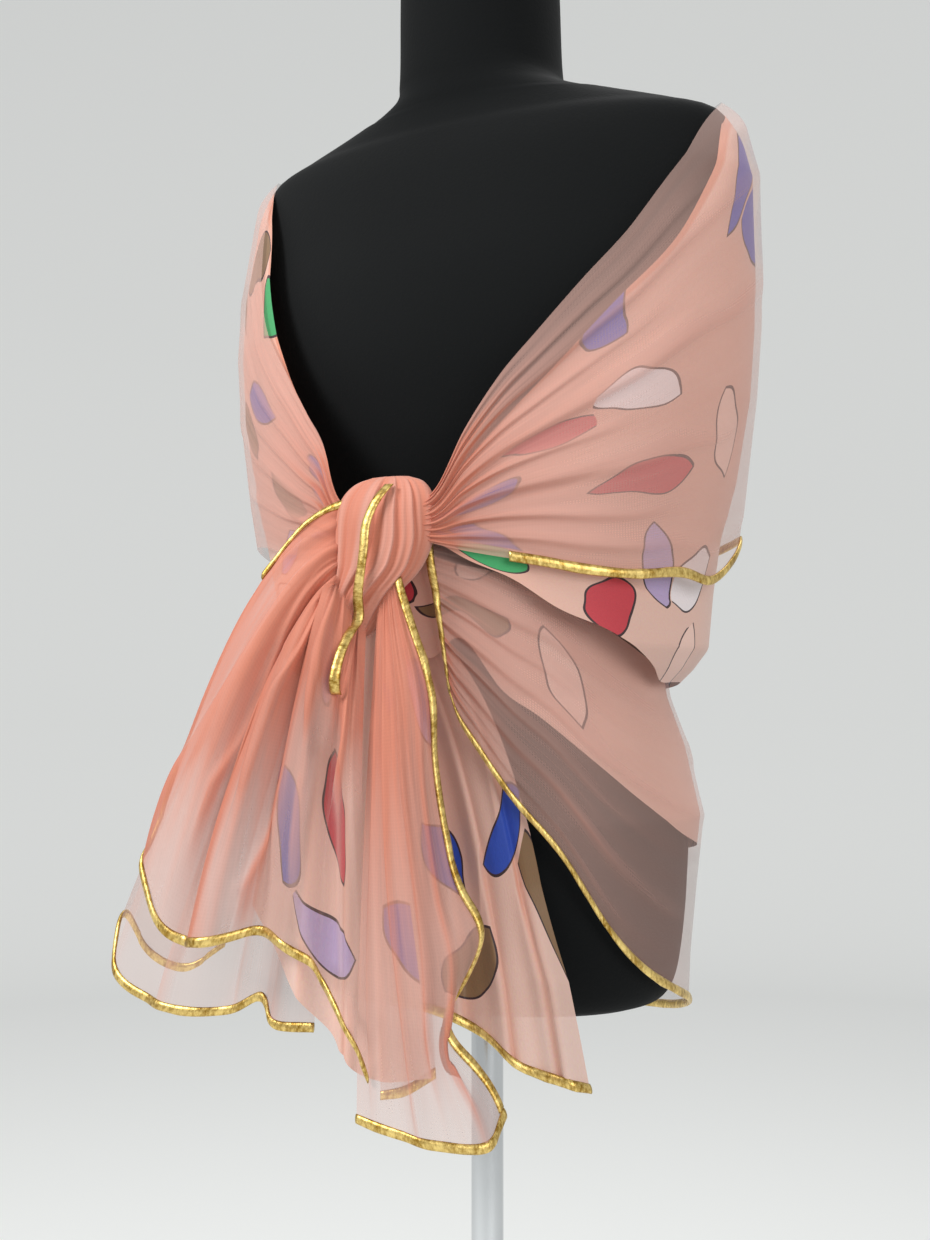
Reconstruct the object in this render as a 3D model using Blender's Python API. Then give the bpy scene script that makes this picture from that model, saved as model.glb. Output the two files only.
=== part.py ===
# A two-ply sheer scarf knotted round a dress form, in metres: the form faces -Y and its left is +X.

import math

import bmesh
import bpy
import numpy as np

TULLE_WALL = 0.0011
PRINT_WALL = 0.0012
RIBBON_WALL = 0.0010
RIBBON_WIDTH = 0.0070
RIBBON_GAP = 0.0008
SEAM_GAP = 0.0004
TUCK_GAP = 0.0072
HOLD_Z = (0.80, 0.86)
HOLD_START = 0.10

POLE_RADIUS = 0.012
POLE_SIDES = 24
BASE_RADIUS = 0.150
BASE_HEIGHT = 0.010
BASE_EDGE = 0.002
FORM_BOTTOM = 0.765
FORM_POWER = 2.1
FORM_SIDES = 36
SHOULDER_TILT = 0.03
SHOULDER_Z = (1.30, 1.40)
NECK_SHIFT = -0.004
NECK_Z = (1.43, 1.46)

# The dress form's rings, from the rounded bottom to the flat top of the neck
FORM_COLUMNS = ("z", "half_width", "front", "back")
FORM_ROWS = [
    (FORM_BOTTOM, 0.122, 0.084, 0.086),
    (0.770, 0.134, 0.095, 0.097),
    (0.783, 0.142, 0.104, 0.106),
    (0.808, 0.147, 0.111, 0.112),
    (0.850, 0.151, 0.114, 0.116),
    (0.900, 0.152, 0.114, 0.114),
    (0.950, 0.141, 0.109, 0.105),
    (1.000, 0.126, 0.100, 0.090),
    (1.060, 0.118, 0.093, 0.084),
    (1.120, 0.124, 0.098, 0.084),
    (1.180, 0.140, 0.112, 0.088),
    (1.230, 0.158, 0.120, 0.093),
    (1.280, 0.176, 0.114, 0.096),
    (1.330, 0.187, 0.099, 0.094),
    (1.375, 0.190, 0.084, 0.087),
    (1.400, 0.188, 0.072, 0.078),
    (1.412, 0.164, 0.064, 0.070),
    (1.426, 0.124, 0.060, 0.065),
    (1.438, 0.088, 0.061, 0.062),
    (1.449, 0.069, 0.062, 0.060),
    (1.466, 0.0640, 0.064, 0.058),
    (1.575, 0.0610, 0.071, 0.049),
]

# How far the two plies of the upper scarf stand from the axis
DRAPE_COLUMNS = ("z", "near_width", "far_width", "front", "back")
DRAPE_ROWS = [
    (1.060, 0.184, 0.168, 0.159, 0.122),
    (1.100, 0.190, 0.176, 0.159, 0.120),
    (1.130, 0.195, 0.183, 0.158, 0.118),
    (1.200, 0.204, 0.197, 0.150, 0.113),
    (1.250, 0.208, 0.204, 0.140, 0.107),
    (1.300, 0.209, 0.205, 0.126, 0.101),
    (1.360, 0.208, 0.199, 0.103, 0.0960),
    (1.400, 0.198, 0.195, 0.084, 0.0845),
    (1.430, 0.192, 0.192, 0.076, 0.078),
]
PRINT_DRAPE_ROWS = [
    (0.980, 0.142, 0.142, 0.152, 0.120),
    (0.995, 0.147, 0.147, 0.154, 0.118),
    (1.005, 0.158, 0.150, 0.155, 0.116),
    (1.020, 0.170, 0.154, 0.156, 0.115),
    (1.060, 0.174, 0.160, 0.158, 0.116),
    (1.100, 0.180, 0.170, 0.158, 0.118),
    (1.140, 0.192, 0.183, 0.157, 0.118),
    (1.200, 0.203, 0.196, 0.150, 0.113),
    (1.250, 0.207, 0.203, 0.140, 0.107),
    (1.300, 0.208, 0.204, 0.126, 0.101),
    (1.360, 0.207, 0.198, 0.103, 0.0960),
    (1.400, 0.197, 0.194, 0.084, 0.0845),
    (1.430, 0.191, 0.191, 0.076, 0.078),
]

# How far the lower scarf stands from the axis round the hips
HIP_ROWS = [
    (0.730, 0.149, 0.149, 0.124, 0.128),
    (0.800, 0.152, 0.152, 0.128, 0.134),
    (0.850, 0.157, 0.159, 0.132, 0.138),
    (0.900, 0.163, 0.163, 0.136, 0.137),
    (0.950, 0.152, 0.152, 0.140, 0.128),
    (0.985, 0.140, 0.140, 0.144, 0.109),
    (1.010, 0.136, 0.136, 0.148, 0.102),
    (1.050, 0.136, 0.136, 0.153, 0.100),
    (1.080, 0.137, 0.137, 0.159, 0.100),
    (1.120, 0.138, 0.138, 0.163, 0.100),
]

# The knot's rings: its band of cloth comes over the top and runs down to the left
KNOT_COLUMNS = ("z", "centre_x", "centre_y", "half_width", "half_depth", "pleat")
KNOT_ROWS = [
    (1.0190, -0.0172, -0.1735, 0.0050, 0.0060, 0.0000),
    (1.0230, -0.0168, -0.1735, 0.0090, 0.0095, 0.0002),
    (1.0330, -0.0156, -0.1730, 0.0145, 0.0130, 0.0006),
    (1.0500, -0.0120, -0.1725, 0.0225, 0.0165, 0.0010),
    (1.0660, -0.0042, -0.1720, 0.0295, 0.0180, 0.0012),
    (1.0850, 0.0006, -0.1710, 0.0345, 0.0185, 0.0012),
    (1.1040, 0.0020, -0.1705, 0.0350, 0.0175, 0.0011),
    (1.1170, 0.0030, -0.1695, 0.0325, 0.0145, 0.0009),
    (1.1260, 0.0040, -0.1685, 0.0250, 0.0095, 0.0004),
    (1.1300, 0.0050, -0.1680, 0.0140, 0.0050, 0.0000),
]
KNOT_PLEATS = 14
KNOT_SIDES = 56

# Upper scarf: a row for each station, from the knot round the left side and the back to the knot
WRAP_COLUMNS = ("turn", "top_z", "low_z", "out")
WRAP_TULLE_ROWS = [
    (13.2, 1.121, 1.084, 0.0160),
    (19.0, 1.160, 1.080, 0.0100),
    (27.0, 1.197, 1.076, 0.0060),
    (36.0, 1.228, 1.072, 0.0044),
    (46.0, 1.262, 1.067, 0.0040),
    (57.0, 1.299, 1.065, 0.0040),
    (69.0, 1.348, 1.068, 0.0040),
    (79.0, 1.386, 1.064, 0.0040),
    (88.0, 1.411, 1.080, 0.0050),
    (97.0, 1.422, 1.098, 0.0036),
    (118.0, 1.424, 1.092, 0.0020),
    (145.0, 1.414, 1.082, 0.0020),
    (180.0, 1.404, 1.086, 0.0020),
    (215.0, 1.406, 1.080, 0.0020),
    (242.0, 1.408, 1.090, 0.0020),
    (263.0, 1.410, 1.096, 0.0034),
    (276.0, 1.405, 1.092, 0.0034),
    (288.0, 1.372, 1.096, 0.0034),
    (298.0, 1.322, 1.098, 0.0034),
    (308.0, 1.268, 1.096, 0.0034),
    (317.0, 1.236, 1.092, 0.0036),
    (326.0, 1.209, 1.086, 0.0044),
    (334.0, 1.183, 1.084, 0.0060),
    (342.0, 1.158, 1.084, 0.0100),
    (348.8, 1.120, 1.086, 0.0150),
]
WRAP_TULLE_SEAMS = (9, 15)
WRAP_PRINT_ROWS = [
    (12.8, 1.117, 1.088, 0.0128),
    (20.0, 1.142, 1.078, 0.0070),
    (30.0, 1.174, 1.062, 0.0020),
    (41.0, 1.208, 1.043, 0.0000),
    (53.0, 1.248, 1.030, 0.0000),
    (66.0, 1.291, 1.012, 0.0000),
    (78.0, 1.347, 0.997, 0.0000),
    (88.0, 1.400, 0.996, 0.0000),
    (98.0, 1.410, 0.996, 0.0000),
    (118.0, 1.410, 0.992, 0.0000),
    (145.0, 1.403, 0.986, 0.0000),
    (180.0, 1.397, 0.990, 0.0000),
    (215.0, 1.399, 0.985, 0.0000),
    (242.0, 1.402, 0.990, 0.0000),
    (262.0, 1.402, 0.996, 0.0000),
    (278.0, 1.395, 0.998, 0.0000),
    (294.0, 1.351, 1.010, 0.0000),
    (308.0, 1.277, 1.026, 0.0000),
    (320.0, 1.225, 1.042, 0.0000),
    (332.0, 1.185, 1.062, 0.0020),
    (342.0, 1.152, 1.078, 0.0070),
    (348.0, 1.117, 1.088, 0.0124),
]
WRAP_PRINT_SEAMS = (8, 14)

# Lower scarf round the hips: top and low ends of a station may lie at other turns
HIP_SHEET_COLUMNS = ("top_turn", "low_turn", "top_z", "low_z", "out")
HIP_TULLE_ROWS = [
    (10.4, 14.5, 1.088, 0.985, 0.001),
    (20.0, 21.0, 1.081, 0.957, 0.001),
    (30.0, 31.0, 1.072, 0.917, 0.001),
    (41.0, 43.0, 1.064, 0.882, 0.001),
    (54.0, 57.0, 1.050, 0.830, 0.001),
    (66.0, 68.0, 1.036, 0.802, 0.001),
    (78.0, 80.0, 1.022, 0.784, 0.001),
    (97.0, 97.0, 1.018, 0.768, 0.001),
    (125.0, 125.0, 1.014, 0.748, 0.001),
    (152.0, 152.0, 1.010, 0.742, 0.001),
    (180.0, 180.0, 1.012, 0.748, 0.001),
    (208.0, 208.0, 1.010, 0.742, 0.001),
    (235.0, 235.0, 1.014, 0.748, 0.001),
    (263.0, 263.0, 1.018, 0.768, 0.001),
    (280.0, 280.0, 1.022, 0.784, 0.001),
    (294.0, 292.0, 1.034, 0.812, 0.001),
    (308.0, 305.0, 1.048, 0.850, 0.001),
    (322.0, 319.0, 1.062, 0.900, 0.001),
    (334.0, 332.0, 1.072, 0.950, 0.001),
    (349.4, 343.0, 1.086, 1.000, 0.001),
]
HIP_TULLE_SEAMS = (7, 13)
HIP_PRINT_ROWS = [
    (17.0, 17.5, 1.073, 1.024, -0.0010),
    (27.0, 28.0, 1.067, 0.990, -0.0010),
    (39.0, 39.0, 1.054, 0.971, -0.0010),
    (54.0, 54.5, 1.040, 0.940, -0.0010),
    (67.0, 68.0, 1.026, 0.913, -0.0010),
    (81.0, 81.0, 1.014, 0.892, -0.0010),
    (97.0, 97.0, 1.008, 0.880, -0.0010),
    (125.0, 125.0, 1.004, 0.868, -0.0010),
    (152.0, 152.0, 1.000, 0.862, -0.0010),
    (180.0, 180.0, 1.002, 0.866, -0.0010),
    (208.0, 208.0, 1.000, 0.862, -0.0010),
    (235.0, 235.0, 1.004, 0.868, -0.0010),
    (263.0, 263.0, 1.008, 0.880, -0.0010),
    (279.0, 279.0, 1.014, 0.894, -0.0010),
    (300.0, 298.0, 1.030, 0.920, -0.0010),
    (320.0, 318.0, 1.050, 0.956, -0.0010),
    (338.0, 337.0, 1.066, 1.006, -0.0010),
]
HIP_PRINT_SEAMS = (6, 12)

# The gold edge that runs down the knot's front
KNOT_RIBBON_COLUMNS = ("z", "turn")
KNOT_RIBBON_ROWS = [
    (1.0340, 24.0),
    (1.0480, 12.0),
    (1.0650, 2.0),
    (1.0950, -3.0),
    (1.1120, 4.0),
    (1.1230, 16.0),
]

# Tails: a row for each fold, from its root on the knot to the hem. turn goes round the knot,
# arch above 1 lets a fold run outwards first and hang afterwards, swell stands it forward.
TAIL_COLUMNS = ("turn", "root_z", "off", "hem_x", "hem_y", "hem_z", "arch", "swell")
LEFT_FRONT_ROWS = [
    (42.0, 1.0330, 0.0034, 0.016, -0.218, 0.751, 1.00, 0.006),
    (20.0, 1.0310, 0.0034, 0.006, -0.230, 0.787, 1.02, 0.012),
    (2.0, 1.0330, 0.0034, -0.020, -0.214, 0.812, 1.05, 0.004),
    (-14.0, 1.0390, 0.0030, -0.034, -0.232, 0.829, 1.10, 0.014),
    (-28.0, 1.0470, 0.0024, -0.064, -0.217, 0.836, 1.20, 0.004),
    (-40.0, 1.0570, 0.0016, -0.086, -0.238, 0.830, 1.30, 0.014),
    (-50.0, 1.0680, 0.0013, -0.111, -0.226, 0.826, 1.40, 0.004),
    (-58.0, 1.0790, 0.0013, -0.129, -0.234, 0.838, 1.50, 0.012),
    (-66.0, 1.0900, 0.0013, -0.147, -0.222, 0.872, 1.60, 0.006),
    (-74.0, 1.1010, 0.0013, -0.150, -0.203, 0.904, 1.75, 0.004),
]
LEFT_REAR_ROWS = [
    (-95.0, 1.0350, 0.0008, -0.042, -0.183, 0.769, 1.05, 0.000),
    (-96.0, 1.0400, 0.0008, -0.071, -0.187, 0.770, 1.12, 0.003),
    (-97.0, 1.0450, 0.0008, -0.080, -0.184, 0.787, 1.16, 0.000),
    (-99.0, 1.0520, 0.0008, -0.106, -0.182, 0.775, 1.20, 0.002),
    (-100.0, 1.0600, 0.0008, -0.137, -0.192, 0.773, 1.30, 0.006),
    (-101.0, 1.0680, 0.0008, -0.171, -0.186, 0.777, 1.40, 0.002),
    (-102.0, 1.0760, 0.0008, -0.204, -0.180, 0.792, 1.50, 0.000),
    (-104.0, 1.0830, 0.0008, -0.216, -0.158, 0.830, 1.50, 0.000),
    (-108.0, 1.0800, 0.0014, -0.210, -0.138, 0.800, 1.40, 0.000),
    (-113.0, 1.0740, 0.0014, -0.188, -0.124, 0.786, 1.30, 0.000),
    (-118.0, 1.0680, 0.0014, -0.160, -0.112, 0.804, 1.20, 0.000),
]
LEFT_PRINT_ROWS = [
    (76.0, 1.0300, 0.0012, 0.040, -0.176, 0.745, 1.00, 0.000),
    (60.0, 1.0262, 0.0012, 0.016, -0.188, 0.743, 1.00, 0.000),
    (30.0, 1.0250, 0.0012, 0.000, -0.197, 0.748, 1.00, 0.001),
    (0.0, 1.0250, 0.0012, -0.010, -0.202, 0.758, 1.02, 0.002),
    (-30.0, 1.0255, 0.0012, -0.022, -0.196, 0.772, 1.08, 0.000),
    (-60.0, 1.0290, 0.0012, -0.042, -0.206, 0.795, 1.15, 0.004),
    (-80.0, 1.0350, 0.0010, -0.062, -0.199, 0.822, 1.25, 0.000),
    (-88.0, 1.0430, 0.0010, -0.078, -0.202, 0.850, 1.35, 0.002),
]
CENTRE_TULLE_ROWS = [
    (82.0, 1.0660, 0.0012, 0.090, -0.176, 0.728, 1.00, 0.004),
    (74.0, 1.0600, 0.0012, 0.088, -0.196, 0.713, 1.00, 0.014),
    (68.0, 1.0540, 0.0012, 0.064, -0.209, 0.714, 1.00, 0.016),
    (63.0, 1.0480, 0.0012, 0.036, -0.214, 0.719, 1.00, 0.012),
    (58.0, 1.0420, 0.0012, 0.006, -0.212, 0.724, 1.00, 0.006),
]
CENTRE_REAR_ROWS = [
    (94.0, 1.0500, 0.0004, 0.031, -0.152, 0.741, 1.00, -0.004),
    (92.0, 1.0440, 0.0004, 0.014, -0.162, 0.730, 1.00, 0.000),
    (90.0, 1.0380, 0.0004, 0.000, -0.170, 0.727, 1.00, 0.000),
]
RIGHT_PRINT_ROWS = [
    (150.0, 1.0660, 0.0012, 0.120, -0.105, 0.729, 2.30, 0.000),
    (152.0, 1.0620, 0.0012, 0.110, -0.122, 0.735, 2.10, -0.006),
    (154.0, 1.0570, 0.0012, 0.092, -0.118, 0.738, 1.80, -0.010),
    (158.0, 1.0520, 0.0012, 0.076, -0.128, 0.746, 1.50, -0.014),
    (163.0, 1.0460, 0.0012, 0.056, -0.124, 0.760, 1.30, -0.018),
    (169.0, 1.0410, 0.0012, 0.034, -0.130, 0.772, 1.15, -0.016),
    (176.0, 1.0370, 0.0012, 0.012, -0.128, 0.776, 1.05, -0.014),
    (185.0, 1.0340, 0.0012, -0.010, -0.134, 0.782, 1.00, -0.012),
]

# Sideways bends of a tail, each at a share of its length and width, with its reach each way
BEND_COLUMNS = ("down", "across", "tall", "wide", "shift_x", "shift_y")
CENTRE_BENDS = [
    (0.20, 0.00, 0.12, 0.30, 0.007, 0.000),
    (0.66, 0.00, 0.06, 0.24, 0.012, 0.000),
    (0.84, 0.00, 0.08, 0.30, -0.024, -0.008),
]

# Pleats that run round the body: their number, phase, and depth at places along the stretch
PLEAT_PLACES = (0.0, 0.12, 0.38, 0.62, 0.88, 1.0)
WRAP_PLEATS = (6.0, 0.15, (0.0004, 0.0042, 0.0022, 0.0022, 0.0042, 0.0004))
PRINT_PLEATS = (3.0, 0.40, (0.0004, 0.0020, 0.0012, 0.0012, 0.0020, 0.0004))
HIP_PLEATS = (5.0, 0.30, (0.0004, 0.0028, 0.0016, 0.0016, 0.0028, 0.0004))

TULLE_COLOUR = (0.78, 0.42, 0.33, 1.0)
PRINT_COLOUR = (0.86, 0.52, 0.42, 1.0)
GOLD_COLOUR = (0.62, 0.42, 0.10, 1.0)
FORM_COLOUR = (0.010, 0.011, 0.013, 1.0)
STEEL_COLOUR = (0.62, 0.63, 0.65, 1.0)


def clear_scene():
    for obj in list(bpy.data.objects):
        bpy.data.objects.remove(obj, do_unlink=True)


def make_material(name, colour, roughness, metallic=0.0):
    material = bpy.data.materials.new(name)
    material.use_nodes = True
    shader = material.node_tree.nodes["Principled BSDF"]
    shader.inputs["Base Color"].default_value = colour
    shader.inputs["Roughness"].default_value = roughness
    shader.inputs["Metallic"].default_value = metallic
    material.diffuse_color = colour
    return material


def add_object(name, points, faces, material):
    mesh = bpy.data.meshes.new(name)
    mesh.from_pydata([tuple(point) for point in points], [], faces)
    work = bmesh.new()
    work.from_mesh(mesh)
    bmesh.ops.recalc_face_normals(work, faces=work.faces)
    work.to_mesh(mesh)
    work.free()
    mesh.materials.append(material)
    obj = bpy.data.objects.new(name, mesh)
    bpy.context.scene.collection.objects.link(obj)
    return obj


def column(rows, columns, name):
    return np.array([row[columns.index(name)] for row in rows], float)


def curve_through(values, places):
    """A smooth curve through evenly spaced values, read at places counted in rows."""
    values = np.asarray(values, float)
    last = len(values) - 1
    low = np.clip(np.floor(places).astype(int), 0, last - 1)
    part = places - low
    before = np.where(low > 0, values[np.maximum(low - 1, 0)], 2 * values[0] - values[1])
    after_end = 2 * values[last] - values[last - 1]
    after = np.where(low + 2 <= last, values[np.minimum(low + 2, last)], after_end)
    here = values[low]
    there = values[low + 1]
    return here + 0.5 * part * (
        there - before
        + part * (2 * before - 5 * here + 4 * there - after
                  + part * (3 * (here - there) + after - before))
    )


def smooth_columns(rows, columns, places):
    return {name: curve_through(column(rows, columns, name), places) for name in columns}


def superellipse(turn, near_width, far_width, front, back, power):
    """Distance from the axis at a turn in radians, with its own size in each direction."""
    depth = np.where(np.cos(turn) > 0, front, back)
    width = np.where(np.sin(turn) > 0, near_width, far_width)
    across = np.abs(np.sin(turn)) / width
    along = np.abs(np.cos(turn)) / depth
    return (across ** power + along ** power) ** (-1.0 / power)


def section_radius(rows, columns, turn, z, power=2.0):
    heights = column(rows, columns, "z")
    sizes = [np.interp(z, heights, column(rows, columns, name)) for name in columns[1:]]
    return superellipse(turn, *sizes, power)


def place(turn, radius, z):
    return np.stack([radius * np.sin(turn), -radius * np.cos(turn), z], axis=-1)


def knot_ring(z):
    heights = column(KNOT_ROWS, KNOT_COLUMNS, "z")
    return [np.interp(z, heights, column(KNOT_ROWS, KNOT_COLUMNS, name))
            for name in KNOT_COLUMNS[1:]]


def knot_point(turn, z, out):
    """A point beside the knot's surface at a turn round the knot's own middle."""
    centre_x, centre_y, half_width, half_depth, pleat = knot_ring(z)
    width = half_width + pleat + out
    depth = half_depth + pleat + out
    return np.stack([centre_x + width * np.sin(turn), centre_y - depth * np.cos(turn), z], axis=-1)


def grid_normals(grid):
    along = np.gradient(grid, axis=0)
    across = np.gradient(grid, axis=1)
    normals = np.cross(along, across)
    return normals / np.linalg.norm(normals, axis=2, keepdims=True)


def wall_between(name, outer, inner, material):
    """A closed wall between two grids of the same size."""
    rows, columns = outer.shape[:2]
    size = rows * columns
    points = np.concatenate([outer.reshape(-1, 3), inner.reshape(-1, 3)])
    faces = []
    for i in range(rows - 1):
        for j in range(columns - 1):
            a = i * columns + j
            quad = (a, a + 1, a + columns + 1, a + columns)
            faces.append(quad)
            faces.append(tuple(size + corner for corner in reversed(quad)))
    rim = [j for j in range(columns)]
    rim += [i * columns + columns - 1 for i in range(1, rows)]
    rim += [(rows - 1) * columns + j for j in range(columns - 2, -1, -1)]
    rim += [i * columns for i in range(rows - 2, 0, -1)]
    for here, there in zip(rim, rim[1:] + rim[:1]):
        faces.append((here, size + here, size + there, there))
    return add_object(name, points, faces, material)


def add_wall(name, grid, thickness, material):
    normals = grid_normals(grid) * thickness / 2
    return wall_between(name, grid + normals, grid - normals, material)


def pleat_shape(pleats, across, along):
    """Height of the pleats, from 0 in a trough, over two grids that run from 0 to 1."""
    count, phase, depths = pleats
    depth = np.interp(along, PLEAT_PLACES, depths)
    uneven = across + 0.035 * np.sin(math.tau * (1.7 * across + 0.3))
    return depth * (0.5 - 0.5 * np.cos(math.tau * (count * uneven + phase)))


def wrap_grid(rows, columns, shell, pleats, sign, cells, down_cells):
    """Points of a stretch round the body: stations along it, top to bottom across it."""
    places = np.linspace(0, len(rows) - 1, (len(rows) - 1) * cells + 1)
    read = smooth_columns(rows, columns, places)
    down = np.linspace(0, 1, down_cells + 1)[None, :]
    if "turn" in read:
        read["top_turn"] = read["low_turn"] = read["turn"]
    turn = np.radians(read["top_turn"][:, None] * (1 - down) + read["low_turn"][:, None] * down)
    z = read["top_z"][:, None] * (1 - down) + read["low_z"][:, None] * down
    radius = section_radius(*shell, turn, z)
    along = np.broadcast_to((places / places[-1])[:, None], turn.shape)
    across = np.broadcast_to(down, turn.shape)
    radius = radius + read["out"][:, None] + sign * pleat_shape(pleats, across, along)
    return place(turn, radius, z)


def cut_at_seams(grid, cells, seams):
    """The stretches of a grid between its seams, drawn apart there by the seam's gap."""
    bounds = [0] + [seam * cells for seam in seams] + [len(grid) - 1]
    stretches = [grid[a:b + 1].copy() for a, b in zip(bounds, bounds[1:])]
    for stretch in stretches[1:]:
        draw_in(stretch, 0, 1)
    for stretch in stretches[:-1]:
        draw_in(stretch, -1, -2)
    return stretches


def draw_in(grid, end, beside):
    step = grid[beside] - grid[end]
    length = np.linalg.norm(step, axis=1, keepdims=True)
    grid[end] += step / length * SEAM_GAP / 2


def tail_grid(rows, side_cells, down_cells, bends=()):
    """Points of a tail: folds side by side, each from its root on the knot down to the hem."""
    places = np.linspace(0, len(rows) - 1, side_cells + 1)
    read = {name: values[:, None] for name, values in
            smooth_columns(rows, TAIL_COLUMNS, places).items()}
    down = np.linspace(0, 1, down_cells + 1)[None, :]
    root = knot_point(np.radians(read["turn"]), read["root_z"], read["off"])
    hem = np.stack([read["hem_x"], read["hem_y"], read["hem_z"]], axis=-1)
    share = down[..., None]
    grid = root * (1 - share) + hem * share
    grid[..., 1] -= read["swell"] * 4 * down * (1 - down)
    drop = (read["root_z"] - read["hem_z"]) * down ** read["arch"]
    grid[..., 2] = read["root_z"] - drop
    across = (places / places[-1])[:, None]
    for row in bends:
        bend = dict(zip(BEND_COLUMNS, row))
        along = ((down - bend["down"]) / bend["tall"]) ** 2
        aside = ((across - bend["across"]) / bend["wide"]) ** 2
        grid[..., 0] += np.exp(-along - aside) * bend["shift_x"]
        grid[..., 1] += np.exp(-along - aside) * bend["shift_y"]
    return grid


def hold_under_hips(grid):
    """Lets a tail hang between the form and the lower scarf that goes over it."""
    turn = np.arctan2(grid[..., 0], -grid[..., 1])
    radius = np.hypot(grid[..., 0], grid[..., 1])
    most = section_radius(HIP_ROWS, DRAPE_COLUMNS, turn, grid[..., 2]) - TUCK_GAP
    down = np.linspace(0, 1, grid.shape[1])
    share = np.interp(grid[..., 2], HOLD_Z, (0, 1)) * np.interp(down, (0, HOLD_START), (0, 1))
    held = np.where(radius > most, most, radius)
    return place(turn, radius + (held - radius) * share, grid[..., 2])


def edge_lines(grid, edge):
    """An edge of a grid and the line of points next to it."""
    if edge == "start":
        return grid[0], grid[1]
    if edge == "end":
        return grid[-1], grid[-2]
    if edge == "root":
        return grid[:, 0], grid[:, 1]
    return grid[:, -1], grid[:, -2]


def add_ribbon(name, grid, edge, side, wall, material, first=0, last=None):
    """A flat ribbon on one face of a panel, along one of its edges."""
    normals = grid_normals(grid)
    line, beside = edge_lines(grid, edge)
    faced, _ = edge_lines(normals, edge)
    cut = slice(first, last)
    line, beside, faced = line[cut], beside[cut], faced[cut] * side
    inward = beside - line
    reach = np.linalg.norm(inward, axis=1, keepdims=True)
    inner_line = line + inward * np.minimum(RIBBON_WIDTH / reach, 1.0)
    lift = wall / 2 + RIBBON_GAP
    low = np.stack([line, inner_line], axis=1) + faced[:, None] * lift
    high = low + faced[:, None] * RIBBON_WALL
    for grid_side in (low, high):
        draw_in(grid_side, 0, 1)
        draw_in(grid_side, -1, -2)
    return wall_between(name, high, low, material)


def add_rings(name, rings, material):
    """A closed solid through rings of points, with a fan over each end."""
    sides = len(rings[0])
    points = [point for ring in rings for point in ring]
    faces = []
    for i in range(len(rings) - 1):
        for j in range(sides):
            a = i * sides + j
            b = i * sides + (j + 1) % sides
            faces.append((a, b, b + sides, a + sides))
    points.append(tuple(np.mean(rings[0], axis=0)))
    points.append(tuple(np.mean(rings[-1], axis=0)))
    bottom, top = len(points) - 2, len(points) - 1
    last = (len(rings) - 1) * sides
    for j in range(sides):
        faces.append((bottom, (j + 1) % sides, j))
        faces.append((top, last + j, last + (j + 1) % sides))
    return add_object(name, points, faces, material)


def add_form(material):
    rings = []
    turns = np.linspace(0, math.tau, FORM_SIDES, endpoint=False)
    for z, half_width, front, back in FORM_ROWS:
        power = FORM_POWER if z < 1.43 else 2.0
        radius = superellipse(turns, half_width, half_width, front, back, power)
        ring = place(turns, radius, np.full_like(turns, z))
        ring[:, 2] += SHOULDER_TILT * ring[:, 0] * np.interp(z, SHOULDER_Z, (0, 1))
        ring[:, 0] += NECK_SHIFT * np.interp(z, NECK_Z, (0, 1))
        rings.append(ring)
    form = add_rings("form_torso", rings, material)
    form.data.shade_smooth()
    return form


def add_stand(material):
    turns = np.linspace(0, math.tau, 48, endpoint=False)
    profile = [
        (BASE_RADIUS, 0.0),
        (BASE_RADIUS, BASE_HEIGHT - BASE_EDGE),
        (BASE_RADIUS - BASE_EDGE, BASE_HEIGHT),
    ]
    rings = [place(turns, np.full_like(turns, r), np.full_like(turns, z)) for r, z in profile]
    add_rings("base_plate", rings, material)
    turns = np.linspace(0, math.tau, POLE_SIDES, endpoint=False)
    ends = (BASE_HEIGHT + SEAM_GAP, FORM_BOTTOM - SEAM_GAP)
    radius = np.full_like(turns, POLE_RADIUS)
    add_rings("pole", [place(turns, radius, np.full_like(turns, z)) for z in ends], material)


def knot_rings():
    """The knot's rings, pleated all round, with the pleats drawn to the lower left."""
    turns = np.linspace(0, math.tau, KNOT_SIDES, endpoint=False)
    rings = []
    for z, centre_x, centre_y, half_width, half_depth, pleat in KNOT_ROWS:
        wave = pleat * np.cos(KNOT_PLEATS * turns)
        x = centre_x + (half_width + wave) * np.sin(turns)
        y = centre_y - (half_depth + wave) * np.cos(turns)
        rings.append(np.stack([x, y, np.full_like(turns, z)], axis=-1))
    return rings


def add_stretches(name, grid, cells, seams, thickness, material):
    lift = grid_normals(grid) * thickness / 2
    outer = cut_at_seams(grid + lift, cells, seams)
    inner = cut_at_seams(grid - lift, cells, seams)
    for side, front, back in zip(("near", "back", "far"), outer, inner):
        wall_between(f"{side}_{name}", front, back, material)


def add_knot(material, gold):
    add_rings("knot_band", knot_rings(), material)
    heights = column(KNOT_RIBBON_ROWS, KNOT_RIBBON_COLUMNS, "z")
    middle = column(KNOT_RIBBON_ROWS, KNOT_RIBBON_COLUMNS, "turn")
    rings = column(KNOT_ROWS, KNOT_COLUMNS, "z")
    z = np.unique(np.concatenate([heights, rings[(rings > heights[0]) & (rings < heights[-1])]]))
    turn = np.radians(np.interp(z, heights, middle))
    shift = RIBBON_WIDTH / 2 / knot_ring(z)[2]
    sides = []
    for out in (RIBBON_GAP, RIBBON_GAP + RIBBON_WALL):
        lines = [knot_point(turn + side * shift, z, out) for side in (-1, 1)]
        sides.append(np.stack(lines, axis=1))
    wall_between("knot_ribbon", sides[1], sides[0], gold)


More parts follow.
